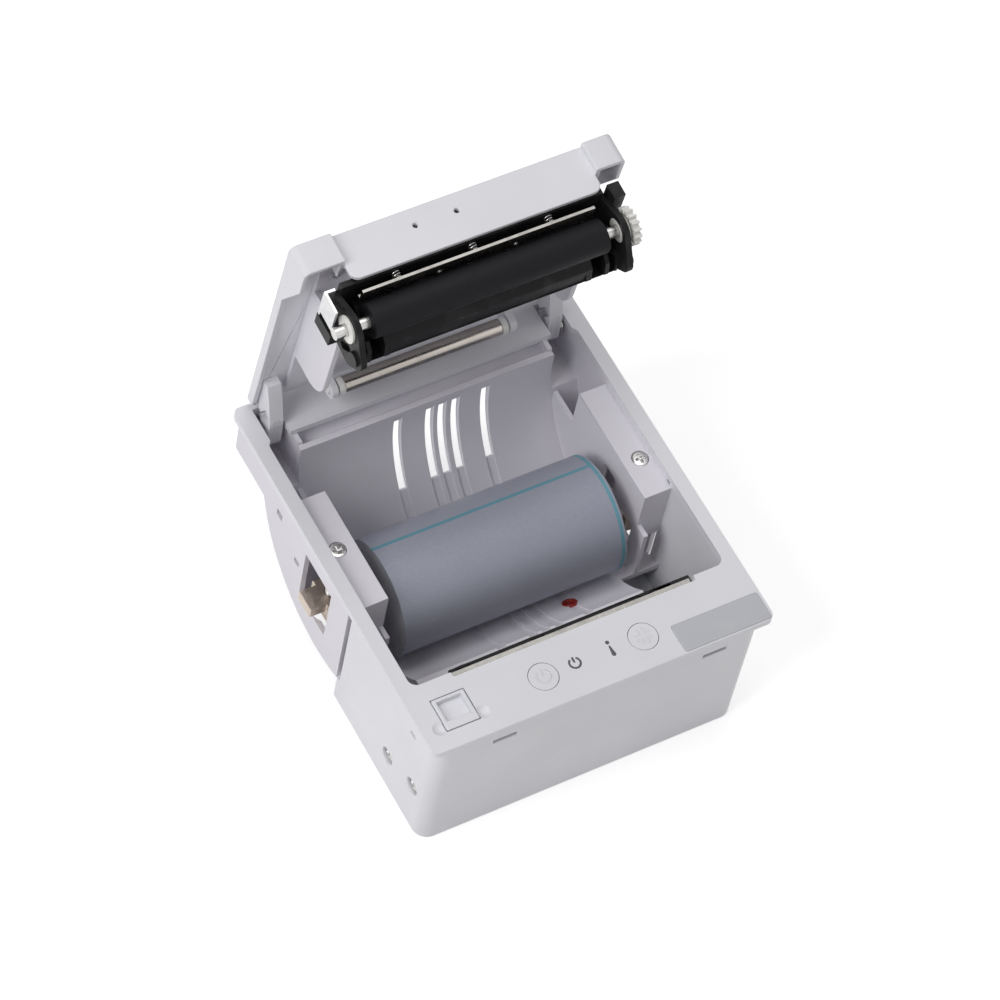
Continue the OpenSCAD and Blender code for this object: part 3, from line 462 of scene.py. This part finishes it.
# Lines to the metre along X, Y and Z: few along the way that the stock was drawn, ground or turned,
# and the same every way on wire and castings
DRAWN_ALONG_X = (18.0, 2600.0, 2600.0)
GROUND_ALONG_Y = (2400.0, 16.0, 2400.0)
ROLLED_SHELL = (1500.0, 30.0, 1500.0)
TURNED_CAN = (2600.0, 22.0, 22.0)
TURNED_CHROME = (4200.0, 40.0, 40.0)
TURNED_RUBBER = (5200.0, 60.0, 60.0)
BRIGHT_WIRE = (900.0, 900.0, 900.0)
SAND_CAST = (700.0, 700.0, 700.0)


def mouldings():
    """The slots whose pieces are moulded, and have a second finish for their corners, paler from rubbed
    wear and a painted highlight.
    """
    white = with_worn_highlit_edge(
        "white abs", WHITE, 0.42, grain=2600.0, depth=0.16, wear_and_highlight=0.5, Coat_Weight=0.12, Coat_Roughness=0.35
    )
    black = with_worn_highlit_edge(
        "black plastic", BLACK, 0.42, grain=1900.0, depth=0.4, wear_and_highlight=0.3, Specular_IOR_Level=0.15
    )
    return {
        "white_abs": white,
        "shell_white": with_worn_highlit_edge("shell white", SHELL, 0.5, grain=2200.0, depth=0.2, wear_and_highlight=0.5),
        "black_plastic": black,
        "plate_grey": with_worn_highlit_edge("plate grey", PLATE_GREY, 0.34, grain=3000.0, depth=0.08, wear_and_highlight=0.8),
        "ivory_plastic": with_worn_highlit_edge("ivory acetal", IVORY, 0.38, grain=1700.0, depth=0.18, wear_and_highlight=0.5),
    }


def plain_skins():
    """The other slots that aren't metal: ink, sensor, ceramic, film, card, rubber, board and paper."""
    icon = plastic("dark icon", ICON_INK, 0.2, grain=3000.0, depth=0.05)
    sensor = plastic(
        "sensor red", SENSOR_RED, 0.12, grain=1500.0, depth=0.05, Transmission_Weight=0.35
    )
    ceramic = plastic("ceramic", CERAMIC, 0.2, grain=900.0, depth=0.1, Coat_Weight=0.6)
    film = plastic("flex film", FLEX_AMBER, 0.28, grain=700.0, depth=0.2, Coat_Weight=0.5)
    card = plastic("card", CARDBOARD, 0.8, grain=800.0, depth=0.6)
    rubber = lined(
        "ground rubber", RUBBER, 0.55, TURNED_RUBBER, depth=0.6, tarnish=0.2, Specular_IOR_Level=0.15
    )
    return {
        "dark_icon": (icon,),
        "sensor_red": (sensor,),
        "ceramic": (ceramic,),
        "flex": (film,),
        "card": (card,),
        "rubber": (rubber,),
        "board_green": (board_finish(),),
        "paper": (paper_finish(),),
    }


def metals():
    """The slots that are metal, each with its own lines and tarnish."""
    return {
        "spring_steel": (metal("spring steel", SPRING_STEEL, 0.24, BRIGHT_WIRE, 0.2, 0.35),),
        "aluminium": (metal("aluminium", ALUMINIUM, 0.34, DRAWN_ALONG_X, 0.35, 0.3),),
        "blade_steel": (metal("blade steel", BLADE_STEEL, 0.3, GROUND_ALONG_Y, 0.35, 0.35),),
        "motor_grey": (metal("motor can", MOTOR_STEEL, 0.4, TURNED_CAN, 0.3, 0.5),),
        "socket_metal": (metal("socket shell", TINNED_SHEET, 0.3, ROLLED_SHELL, 0.25, 0.3),),
        "brass": (metal("cast brass", CAST_BRASS, 0.38, SAND_CAST, 0.5, 0.6),),
        "chrome": (metal("chrome", CHROME, 0.2, TURNED_CHROME, 0.12, 0.35),),
    }


FINISHES = mouldings() | plain_skins() | metals()

SLOT_OF = {part["node"]: part["material_slot"] for part in frame["record"]["subparts"]}
BODY_OF = {
    node: body for body, nodes in frame["record"]["behaviour"]["bodies"].items() for node in nodes
}

# ---------- pieces that take a CAD node's place ----------


def place(piece, node):
    """The piece stands for the CAD node, rides on its body and has its slot's finish, with the corner one
    second where there is one, paler from rubbed wear and a painted highlight.
    """
    for material in FINISHES[SLOT_OF[node]]:
        piece.data.materials.append(material)
    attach(piece, BODY_OF[node])
    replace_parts(piece, node)


MERGE_DISTANCE = 2e-6
FLAT_ANGLE = math.radians(0.5)
CORNER_ANGLE = math.radians(30.0)


def softened(node, width, joined=True, chosen=None, segments=2):
    """A copy of a CAD node with its doubles merged and, where joined is true, its flat regions made
    one face each. Its sharp corners are rounded by a bevel of that width in mm: all of them, or
    those whose middle the chosen test accepts.
    """
    mesh = bpy.data.meshes.new(node + "_soft")
    shell = bmesh.new()
    shell.from_mesh(frame["nodes"][node].data)
    bmesh.ops.remove_doubles(shell, verts=shell.verts, dist=MERGE_DISTANCE)
    if joined:
        bmesh.ops.dissolve_limit(
            shell,
            angle_limit=FLAT_ANGLE,
            verts=shell.verts,
            edges=shell.edges,
            use_dissolve_boundaries=False,
        )
    weight = shell.edges.layers.float.new("bevel_weight_edge")
    for edge in shell.edges:
        corner = len(edge.link_faces) == 2 and edge.calc_face_angle(0.0) > CORNER_ANGLE
        middle = (edge.verts[0].co + edge.verts[1].co) / (2 * MM)
        edge[weight] = float(corner and (chosen is None or chosen(middle)))
    shell.to_mesh(mesh)
    shell.free()
    for name in ("custom_normal", "sharp_face", "sharp_edge"):
        if name in mesh.attributes:
            mesh.attributes.remove(mesh.attributes[name])
    mesh.shade_smooth()
    mesh.set_sharp_from_angle(angle=CORNER_ANGLE)
    piece = bpy.data.objects.new(node + "_soft", mesh)
    bpy.context.scene.collection.objects.link(piece)
    place(piece, node)
    bevel = piece.modifiers.new("rounded corners", "BEVEL")
    bevel.width = width * MM
    bevel.segments = segments
    bevel.limit_method = "WEIGHT"
    bevel.use_clamp_overlap = False
    bevel.harden_normals = True
    # The bevel's faces take the second finish: paler patches of rubbed wear and a painted edge highlight
    if len(mesh.materials) > 1:
        bevel.material = 1


def grid(points, around=True, caps=True, closed=False):
    """Corners and faces of a surface given as points[u, v]: four neighbours make a face, v closes on
    itself where around is true and u where closed is true, and otherwise flat caps may close the
    first and last rows.
    """
    rows, columns = points.shape[:2]
    i, j = np.meshgrid(
        np.arange(rows if closed else rows - 1),
        np.arange(columns if around else columns - 1),
        indexing="ij",
    )
    here_row, next_row = i * columns, (i + 1) % rows * columns
    after = (j + 1) % columns
    quads = np.stack([here_row + j, here_row + after, next_row + after, next_row + j], -1)
    faces = quads.reshape(-1, 4).tolist()
    if caps and not closed:
        faces.append(list(range(columns))[::-1])
        faces.append(list(range((rows - 1) * columns, rows * columns)))
    return points.reshape(-1, 3), faces


def outward(corners, faces):
    """The faces, all turned round if the solid's signed volume, a sixth of the sum of its corners'
    triple products, is below zero.
    """
    fans = np.array([(f[0], f[k], f[k + 1]) for f in faces for k in range(1, len(f) - 1)])
    a, b, c = (corners[fans[:, n]] for n in range(3))
    if np.einsum("ij,ij->i", a, np.cross(b, c)).sum() < 0:
        return [f[::-1] for f in faces]
    return faces


def build(name, shells, node, sharp=35.0):
    """One piece from several closed shells, given in metres, which takes the CAD node's place.
    Corners sharper than the angle in degrees stay sharp.
    """
    corners, faces, start = [], [], 0
    for points, quads in shells:
        points = np.asarray(points, float)
        faces += [[k + start for k in f] for f in outward(points - points.mean(0), quads)]
        corners.append(points)
        start += len(points)
    mesh = bpy.data.meshes.new(name)
    mesh.from_pydata(np.concatenate(corners).tolist(), [], faces)
    mesh.shade_smooth()
    mesh.set_sharp_from_angle(angle=math.radians(sharp))
    piece = bpy.data.objects.new(name, mesh)
    bpy.context.scene.collection.objects.link(piece)
    place(piece, node)
    return piece


def around_once(count):
    """Evenly spread angles of one turn, without the last, which is the first again."""
    return np.linspace(0, FULL_TURN, count, endpoint=False)


def basis(axis):
    """Two unit vectors square to the axis and to each other."""
    axis = np.asarray(axis, float)
    side = np.cross(axis, (0.0, 0.0, 1.0) if abs(axis[2]) < 0.9 else (1.0, 0.0, 0.0))
    side /= np.linalg.norm(side)
    return side, np.cross(axis, side)


def spokes(axis, angle):
    """The unit vectors square to the axis at those angles round it."""
    side, up = basis(axis)
    return np.cos(angle)[:, None] * side + np.sin(angle)[:, None] * up


def eased(profile, radius, steps=3):
    """The profile with each inner corner replaced by a short curve: the quadratic through the points
    that lie radius before and after it, or less than half of a shorter side.
    """
    most_of_side = 0.45
    points = np.asarray(profile, float)
    run = [points[:1]]
    for before, corner, after in zip(points[:-2], points[1:-1], points[2:]):
        back, ahead = before - corner, after - corner
        back_length, ahead_length = np.linalg.norm(back), np.linalg.norm(ahead)
        reach = min(radius, back_length * most_of_side, ahead_length * most_of_side)
        p = corner + back / back_length * reach
        q = corner + ahead / ahead_length * reach
        t = np.linspace(0, 1, steps + 1)[:, None]
        run.append((1 - t) ** 2 * p + 2 * t * (1 - t) * corner + t**2 * q)
    run.append(points[-1:])
    return np.concatenate(run)


def turned(origin, axis, profile, count):
    """A solid of revolution: the profile (distance along the axis, radius) swept round the axis."""
    profile = np.asarray(profile, float)
    ring = spokes(axis, around_once(count))
    points = profile[:, None, 0, None] * np.asarray(axis, float) + profile[:, None, 1, None] * ring[None]
    return grid((np.asarray(origin, float) + points) * MM)


def cross_head(origin, axis, radius, height, recess, count=64):
    """A screw's head: a low dome, its rim and its flat underside as one swept profile, with a cross
    sunk into the dome. The cross is the greater of two soft-edged bars, deepest at the middle.
    """
    rim_rise, crown_rise, crown_spread = 0.72, 0.28, 0.93
    out = np.linspace(0.004, 1, 26)
    dome = height * (rim_rise + crown_rise * np.sqrt(np.maximum(0, 1 - (out * crown_spread) ** 2)))
    rim = np.array(
        [[radius, height * 0.55], [radius, height * 0.12], [radius * 0.96, 0.0], [0.01, 0.0]]
    )
    reach = np.concatenate([out * radius * 0.97, rim[:, 0]])
    rise = np.concatenate([dome, rim[:, 1]])
    angle = around_once(count)
    x, y = reach[:, None] * np.cos(angle), reach[:, None] * np.sin(angle)
    soft = radius * 0.05
    half_w, half_l = radius * 0.15, radius * 0.62

    def bar(p, q):
        """1 inside a bar half_w wide and half_l long, falling to 0 over the soft edge."""
        inside = np.minimum(half_w - np.abs(p), half_l - np.abs(q))
        return np.clip(inside / soft + 0.5, 0, 1)

    shallower = (1 - 0.6 * np.hypot(x, y) / half_l).clip(0.2, 1)
    sunk = np.maximum(bar(x, y), bar(y, x)) * recess * shallower
    sunk[len(out) :] = 0
    side, up = basis(axis)
    level = (rise[:, None] - sunk)[..., None] * np.asarray(axis, float)
    points = x[..., None] * side + y[..., None] * up + level
    return grid((np.asarray(origin, float) + points) * MM)


def thread(origin, axis, length, radius, pitch, depth, count=24, per_turn=5):
    """A threaded rod: its radius falls from the crest by depth as a triangle wave of height over
    pitch less angle over a full turn.
    """
    height = np.linspace(0, length, int(length / pitch * per_turn))
    angle = around_once(count)
    wave = np.abs(((height[:, None] / pitch - angle / FULL_TURN) % 1) * 2 - 1)
    reach = radius - depth * wave
    reach[0] = reach[-1] = radius - depth
    points = height[:, None, None] * np.asarray(axis, float) + reach[..., None] * spokes(axis, angle)
    return grid((np.asarray(origin, float) + points) * MM)


def tube(path, radius, count=9, towards=None):
    """A round wire: at each point of the path a circle is drawn square to the path's direction, its
    start turned to the given vectors.
    """
    along = np.gradient(path, axis=0)
    along /= np.linalg.norm(along, axis=1)[:, None]
    lean = np.tile((0.31, 0.17, 0.93), (len(path), 1)) if towards is None else towards
    first = lean - (lean * along).sum(1)[:, None] * along
    first /= np.linalg.norm(first, axis=1)[:, None]
    second = np.cross(along, first)
    angle = around_once(count)[None, :, None]
    circle = np.cos(angle) * first[:, None] + np.sin(angle) * second[:, None]
    return grid((path[:, None] + radius * circle) * MM)


def coil(origin, axis, radii, height, wire, turns, per_turn=26):
    """A helical spring: the wire's centre goes round the axis with its radius running from the first
    to the second of radii, climbing slowly over the closed turn at each end, and a round section is
    carried along it square to the path.
    """
    t = np.linspace(0, 1, int(turns * per_turn) + 1)
    close = 1.0 / turns
    heights = [0, wire * 0.9, height - wire * 1.9, height - wire]
    climb = np.interp(t, [0, close, 1 - close, 1], heights) + wire / 2
    reach = np.interp(t, [0, 1], radii)
    radial = spokes(axis, FULL_TURN * turns * t)
    path = np.asarray(origin, float) + reach[:, None] * radial + climb[:, None] * np.asarray(axis, float)
    return tube(path, wire / 2, towards=radial)


# ---------- the lid's place ----------

HINGE_Y, HINGE_Z = 60.5, -5.5
LID_OPEN = math.radians(84.0)


def on_lid(points, offset=True):
    """Points drawn on the closed lid, in mm, turned about the hinge line to where the lid stands
    open. Without the offset they are directions.
    """
    points = np.asarray(points, float)
    y = points[..., 1] - (HINGE_Y if offset else 0)
    z = points[..., 2] - (HINGE_Z if offset else 0)
    c, s = math.cos(LID_OPEN), math.sin(LID_OPEN)
    turned_y, turned_z = y * c + z * s, z * c - y * s
    if offset:
        turned_y, turned_z = turned_y + HINGE_Y, turned_z + HINGE_Z
    return np.stack([points[..., 0], turned_y, turned_z], -1)


LID_UP = on_lid((0, 0, 1), False)

# ---------- mouldings and stampings with rounded corners ----------

# The bevel's width at each node's corners, in mm
SOFT_EDGES = {
    "front_case": 0.45,
    "lid_cover": 0.45,
    "lid_liner": 0.35,
    "hinge_arms": 0.12,
    "release_button": 0.35,
    "power_button": 0.1,
    "feed_button": 0.1,
    "nameplate": 0.15,
    "guide_brackets": 0.3,
    "guide_ends": 0.15,
    "platen_bushings": 0.2,
    "platen_gear": 0.08,
    "platen_frame": 0.12,
    "mech_frame": 0.3,
    "lower_guide": 0.25,
    "cutter_frame": 0.1,
    "cutter_cover": 0.12,
    "latch_hooks": 0.08,
    "latch_bracket": 0.12,
    "fixed_blade": 0.08,
    "cutter_blade": 0.08,
    "heat_sink": 0.15,
    "thermal_head": 0.1,
    "data_socket": 0.15,
    "power_socket": 0.3,
    "left_clamp": 0.4,
    "right_clamp": 0.4,
    "feed_motor": 0.4,
    "cutter_motor": 0.3,
    "button_board": 0.08,
    "main_board": 0.08,
    "tact_switches": 0.15,
    "idler_gear": 0.08,
    "feed_pinion": 0.08,
    "roll_core": 0.15,
    "head_cable": 0.06,
    "paper_sensor": 0.1,
}
RIM_BEVEL = 0.4
LEDGE_BEVEL = 0.25

FLANGE_HALF_X, FLANGE_HALF_Y, FLANGE_CORNER = 60.5, 68.0, 3.0
LEDGE_END_X, LEDGE_TOP_Z = 55, -1.1
SLACK = 0.1


def on_rim(middle):
    """Whether a point lies on the flange's outer outline, a rectangle with round corners."""
    out_x = abs(middle.x) - (FLANGE_HALF_X - FLANGE_CORNER)
    out_y = abs(middle.y) - (FLANGE_HALF_Y - FLANGE_CORNER)
    if out_x > 0 and out_y > 0:
        return math.hypot(out_x, out_y) > FLANGE_CORNER - SLACK
    return max(out_x, out_y) > FLANGE_CORNER - SLACK / 2


def on_ledge(middle):
    """Whether a point lies on the flat top of one of the bucket's ledges."""
    return abs(middle.x) < LEDGE_END_X and abs(middle.z - LEDGE_TOP_Z) < SLACK


softened("bezel", RIM_BEVEL, joined=False, chosen=on_rim, segments=3)
softened("paper_bucket", LEDGE_BEVEL, chosen=on_ledge)
for node, width in SOFT_EDGES.items():
    softened(node, width)

# ---------- the paper ----------

BORE_R = 6.5
SHEET_THICK = 0.13
SHEET_END_ANGLE = 4.1
LAYER_WANDER = 0.035
END_SPREAD = (-0.12, 0.05)
END_INSET = 0.06


def paper_roll():
    """The wound roll: one closed profile (outer skin, end face, bore, end face) carried round the
    axis. The outer radius grows by one sheet's thickness over a turn, so the loose end shows as a
    small step, and the end faces wander by a few hundredths of a millimetre from layer to layer.
    """
    rng = np.random.default_rng(7)
    half, outer = ROLL_HALF / MM, ROLL_R / MM
    angle = around_once(144)
    across = np.linspace(-half + 0.1, half - 0.1, 40)
    layers = np.linspace(outer - 0.25, BORE_R, 36)
    wander = rng.normal(0, LAYER_WANDER, len(layers)).cumsum() * 0.6
    wander -= np.linspace(wander[0], wander[-1], len(layers))
    edge = half - END_INSET + np.clip(wander, *END_SPREAD)
    x = np.concatenate([across, edge, -edge[::-1]])
    r = np.concatenate([np.full(len(across), outer), layers, layers[::-1]])
    skin = np.concatenate([np.ones(len(across)), np.zeros(2 * len(layers))])
    grow = SHEET_THICK * (((angle - SHEET_END_ANGLE) % FULL_TURN) / FULL_TURN - 1)
    reach = r[:, None] + skin[:, None] * grow[None]
    points = np.stack(
        [
            np.repeat(x[:, None], len(angle), 1),
            ROLL_Y / MM + reach * np.cos(angle),
            ROLL_Z / MM + reach * np.sin(angle),
        ],
        -1,
    )
    build("wound_paper", [grid(points * MM, closed=True)], "paper_roll", sharp=40)


paper_roll()

# ---------- the rollers of the lid ----------

PLATEN = on_lid((0, -32.9, -23.3))
PLATEN_HALF, PLATEN_R, PLATEN_BORE_R, PLATEN_EASE = 40, 5.5, 2.0, 0.5
GUIDE = on_lid((0, 41.7, -7.5))
GUIDE_HALF, GUIDE_R, GUIDE_BORE_R, GUIDE_CHAMFER, GUIDE_EASE = 28, 2.7, 2.0, 0.25, 0.12


def sleeve(origin, loop, count):
    """A ring-shaped solid: a closed profile (x, radius) swept round the line along X through the
    origin point.
    """
    angle = around_once(count)
    points = np.stack(
        [
            np.repeat(loop[:, 0:1], count, 1),
            origin[1] + loop[:, 1:2] * np.cos(angle),
            origin[2] + loop[:, 1:2] * np.sin(angle),
        ],
        -1,
    )
    return grid(points * MM, closed=True)


def rollers():
    """The rubber roller and the chrome guide roller, each with eased ends and its shaft's bore."""
    rubber = [
        (-PLATEN_HALF, PLATEN_BORE_R),
        (-PLATEN_HALF, PLATEN_R),
        (PLATEN_HALF, PLATEN_R),
        (PLATEN_HALF, PLATEN_BORE_R),
    ]
    rubber = eased(rubber, PLATEN_EASE, steps=4)
    build("rubber_roller", [sleeve(PLATEN, rubber, 72)], "platen_rubber", sharp=40)
    chrome = [
        (-GUIDE_HALF, GUIDE_BORE_R),
        (-GUIDE_HALF, GUIDE_R - GUIDE_CHAMFER),
        (-GUIDE_HALF + GUIDE_CHAMFER, GUIDE_R),
        (GUIDE_HALF - GUIDE_CHAMFER, GUIDE_R),
        (GUIDE_HALF, GUIDE_R - GUIDE_CHAMFER),
        (GUIDE_HALF, GUIDE_BORE_R),
    ]
    build("chrome_roller", [sleeve(GUIDE, eased(chrome, GUIDE_EASE), 64)], "guide_roller", sharp=40)


rollers()

# ---------- springs ----------

SPRING_XS = (-26, 0, 26)
BLADE_Y, BLADE_Z, BAR_Z = -35.6, -16.0, -12.4
HEAD_Y, HEAD_Z, HEAD_SPRING_LENGTH = -43.8, -29.2, 5.0
RELEASE_FOOT, RELEASE_SPRING_LENGTH = (-46.7, -56.2, -10.0), 8.0
LID_SPRING_X, LID_SPRING_LENGTH, LID_SPRING_R, LID_SPRING_WIRE = 52.5, 2.4, 2.95, 0.6
LEG_X, LEG_START_Y, LEG_END_Y, LEG_RISE = 52.85, 1.3, 9.4, 2.6


def springs():
    """Each spring is a coil that fills the space of its stacked rings."""
    blade = [
        coil(on_lid((x, BLADE_Y, BLADE_Z)), LID_UP, (1.05, 1.45), BAR_Z - BLADE_Z, wire=0.42, turns=4.5)
        for x in SPRING_XS
    ]
    build("blade_coils", blade, "blade_springs")
    head = [
        coil((x, HEAD_Y, HEAD_Z), (0, -1, 0), (2.2, 2.2), HEAD_SPRING_LENGTH, wire=0.6, turns=5)
        for x in (SPRING_XS[0], SPRING_XS[-1])
    ]
    build("head_coils", head, "head_springs")
    release = coil(RELEASE_FOOT, (0, 0, 1), (3.2, 3.2), RELEASE_SPRING_LENGTH, wire=0.6, turns=6.5)
    piece = build("release_coil", [release], "release_spring")
    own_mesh(piece)
    build("lid_coils", lid_springs(), "lid_springs")


def lid_springs():
    """At each hinge arm a short coil round the hinge line, and a straight leg that lies on the lid."""
    made = []
    for sign in (-1, 1):
        start = on_lid((sign * LID_SPRING_X, HINGE_Y, HINGE_Z))
        radii = (LID_SPRING_R, LID_SPRING_R)
        made.append(coil(start, (sign, 0, 0), radii, LID_SPRING_LENGTH, LID_SPRING_WIRE, turns=3.2))
        foot = (sign * LEG_X, HINGE_Y - LEG_START_Y, HINGE_Z + LEG_RISE)
        tip = (sign * LEG_X, HINGE_Y - LEG_END_Y, HINGE_Z + LEG_RISE)
        leg = on_lid(np.array([foot, tip]))
        t = np.linspace(0, 1, 16)[:, None]
        made.append(tube(leg[:1] * (1 - t) + leg[1:] * t, LID_SPRING_WIRE / 2))
    return made


springs()

# ---------- screws ----------

HEAD_R = 2.7
SHANK_R = 1.5
SHANK_CORE = 0.02
CLAMP_SCREWS = (("left_clamp_screw", -51.6, 10.8), ("right_clamp_screw", 51.6, 2.4))
CLAMP_HEAD_Z, CLAMP_HEAD_HEIGHT, CLAMP_RECESS = -2.9, 1.7, 0.95
CLAMP_TIP_Z, CLAMP_SHANK, CLAMP_PITCH, CLAMP_THREAD = -37.0, 34.2, 0.5, 0.22
SIDE_SCREWS = ((-41.8, -41.4), (-56.8, -36.2))
SIDE_HEAD_X, SIDE_HEAD_HEIGHT, SIDE_RECESS = 54.7, 1.5, 0.8
SIDE_SHANK_X, SIDE_SHANK = 52.2, 2.55


def screws():
    """Pan heads with a cross recess on plain or threaded shanks, on the CAD screws' axes. The side
    heads stand a millimetre nearer to the mouths of their recesses.
    """
    for node, x, y in CLAMP_SCREWS:
        head = cross_head((x, y, CLAMP_HEAD_Z), (0, 0, 1), HEAD_R, CLAMP_HEAD_HEIGHT, CLAMP_RECESS)
        foot = (x, y, CLAMP_TIP_Z)
        shank = thread(foot, (0, 0, 1), CLAMP_SHANK, SHANK_R, CLAMP_PITCH, CLAMP_THREAD)
        build(node + "_threaded", [head, shank], node)
    side = []
    for sign in (-1, 1):
        out = (sign, 0, 0)
        for y, z in SIDE_SCREWS:
            under_head = (sign * SIDE_HEAD_X, y, z)
            side.append(cross_head(under_head, out, HEAD_R, SIDE_HEAD_HEIGHT, SIDE_RECESS))
            rod = [(0, SHANK_CORE), (0, SHANK_R), (SIDE_SHANK, SHANK_R), (SIDE_SHANK, SHANK_CORE)]
            side.append(turned((sign * SIDE_SHANK_X, y, z), out, rod, 24))
    build("side_screw_heads", side, "side_screws")


screws()

# ---------- CAD nodes shown as they are ----------

REPLACED = {name for piece in bpy.data.objects for name in piece.get("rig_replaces", [])}
for name, piece in frame["nodes"].items():
    if name not in REPLACED:
        for material_slot in piece.material_slots:
            material_slot.material = FINISHES[SLOT_OF[name]][0]

# ---------- stage and light ----------

FLOOR_Z = -55.6 * MM
FLOOR_HALF = 4
FLOOR_GLOW = 0.5
FLOOR_SHADES = ((0.88, 0.88, 0.88), (0.90, 0.90, 0.90))
WORLD_LIGHT = 0.29


def white_to_camera(tree, strength_seen, strength_else):
    """The first strength for rays that go to the camera, straight, off gloss or through glass, and
    the other for the rest.
    """
    path = put(tree, "LightPath").outputs
    seen = calc(tree, "MAXIMUM", path["Is Camera Ray"], path["Is Glossy Ray"])
    seen = calc(tree, "MAXIMUM", seen, path["Is Transmission Ray"])
    return calc(tree, "ADD", calc(tree, "MULTIPLY", seen, strength_seen - strength_else), strength_else)


def make_stage():
    """A wide, flat, pale floor of square faces. Its own glow, which only the camera, gloss and glass
    see, makes it white away from the object's shadow.
    """
    side = np.linspace(-FLOOR_HALF, FLOOR_HALF, 41)
    x, y = np.meshgrid(side, side, indexing="ij")
    points = np.stack([x, y, np.full_like(x, FLOOR_Z)], -1)
    corners, faces = grid(points, around=False, caps=False)
    mesh = bpy.data.meshes.new("floor")
    mesh.from_pydata(corners.tolist(), [], [f[::-1] for f in faces])
    floor = bpy.data.objects.new("floor", mesh)
    bpy.context.scene.collection.objects.link(floor)
    material, tree, principled = new_material("pale floor")
    soft = noise(tree, here(tree), scale=3.0, detail=2.0)
    tree.links.new(blend_colour(tree, soft, *map(rgba, FLOOR_SHADES)), principled.inputs["Base Color"])
    principled.inputs["Roughness"].default_value = 0.9
    principled.inputs["Specular IOR Level"].default_value = 0.1
    principled.inputs["Emission Color"].default_value = (1, 1, 1, 1)
    tree.links.new(white_to_camera(tree, FLOOR_GLOW, 0.0), principled.inputs["Emission Strength"])
    mesh.materials.append(material)


def make_world():
    """An even white surround: white where the camera, gloss and glass see it, and dimmer as light."""
    world = bpy.data.worlds.new("studio")
    world.use_nodes = True
    tree = world.node_tree
    background = tree.nodes["Background"]
    background.inputs["Color"].default_value = (1.0, 1.0, 1.0, 1)
    tree.links.new(white_to_camera(tree, 1.0, WORLD_LIGHT), background.inputs["Strength"])
    bpy.context.scene.world = world


def lamp(name, spot, size, power):
    """A soft rectangular lamp aimed at the origin."""
    data = bpy.data.lights.new(name, "AREA")
    data.shape = "RECTANGLE"
    data.size, data.size_y = size
    data.energy = power
    piece = bpy.data.objects.new(name, data)
    piece.location = spot
    piece.rotation_euler = (-Vector(spot)).to_track_quat("-Z", "Y").to_euler()
    bpy.context.scene.collection.objects.link(piece)


make_stage()
make_world()
lamp("key", (-1.1, -0.1, 0.95), size=(0.7, 0.9), power=9.3)
lamp("top", (0.1, 0.35, 1.35), size=(0.9, 0.7), power=4.6)
lamp("fill", (0.9, -0.9, 0.7), size=(0.9, 0.9), power=1.0)
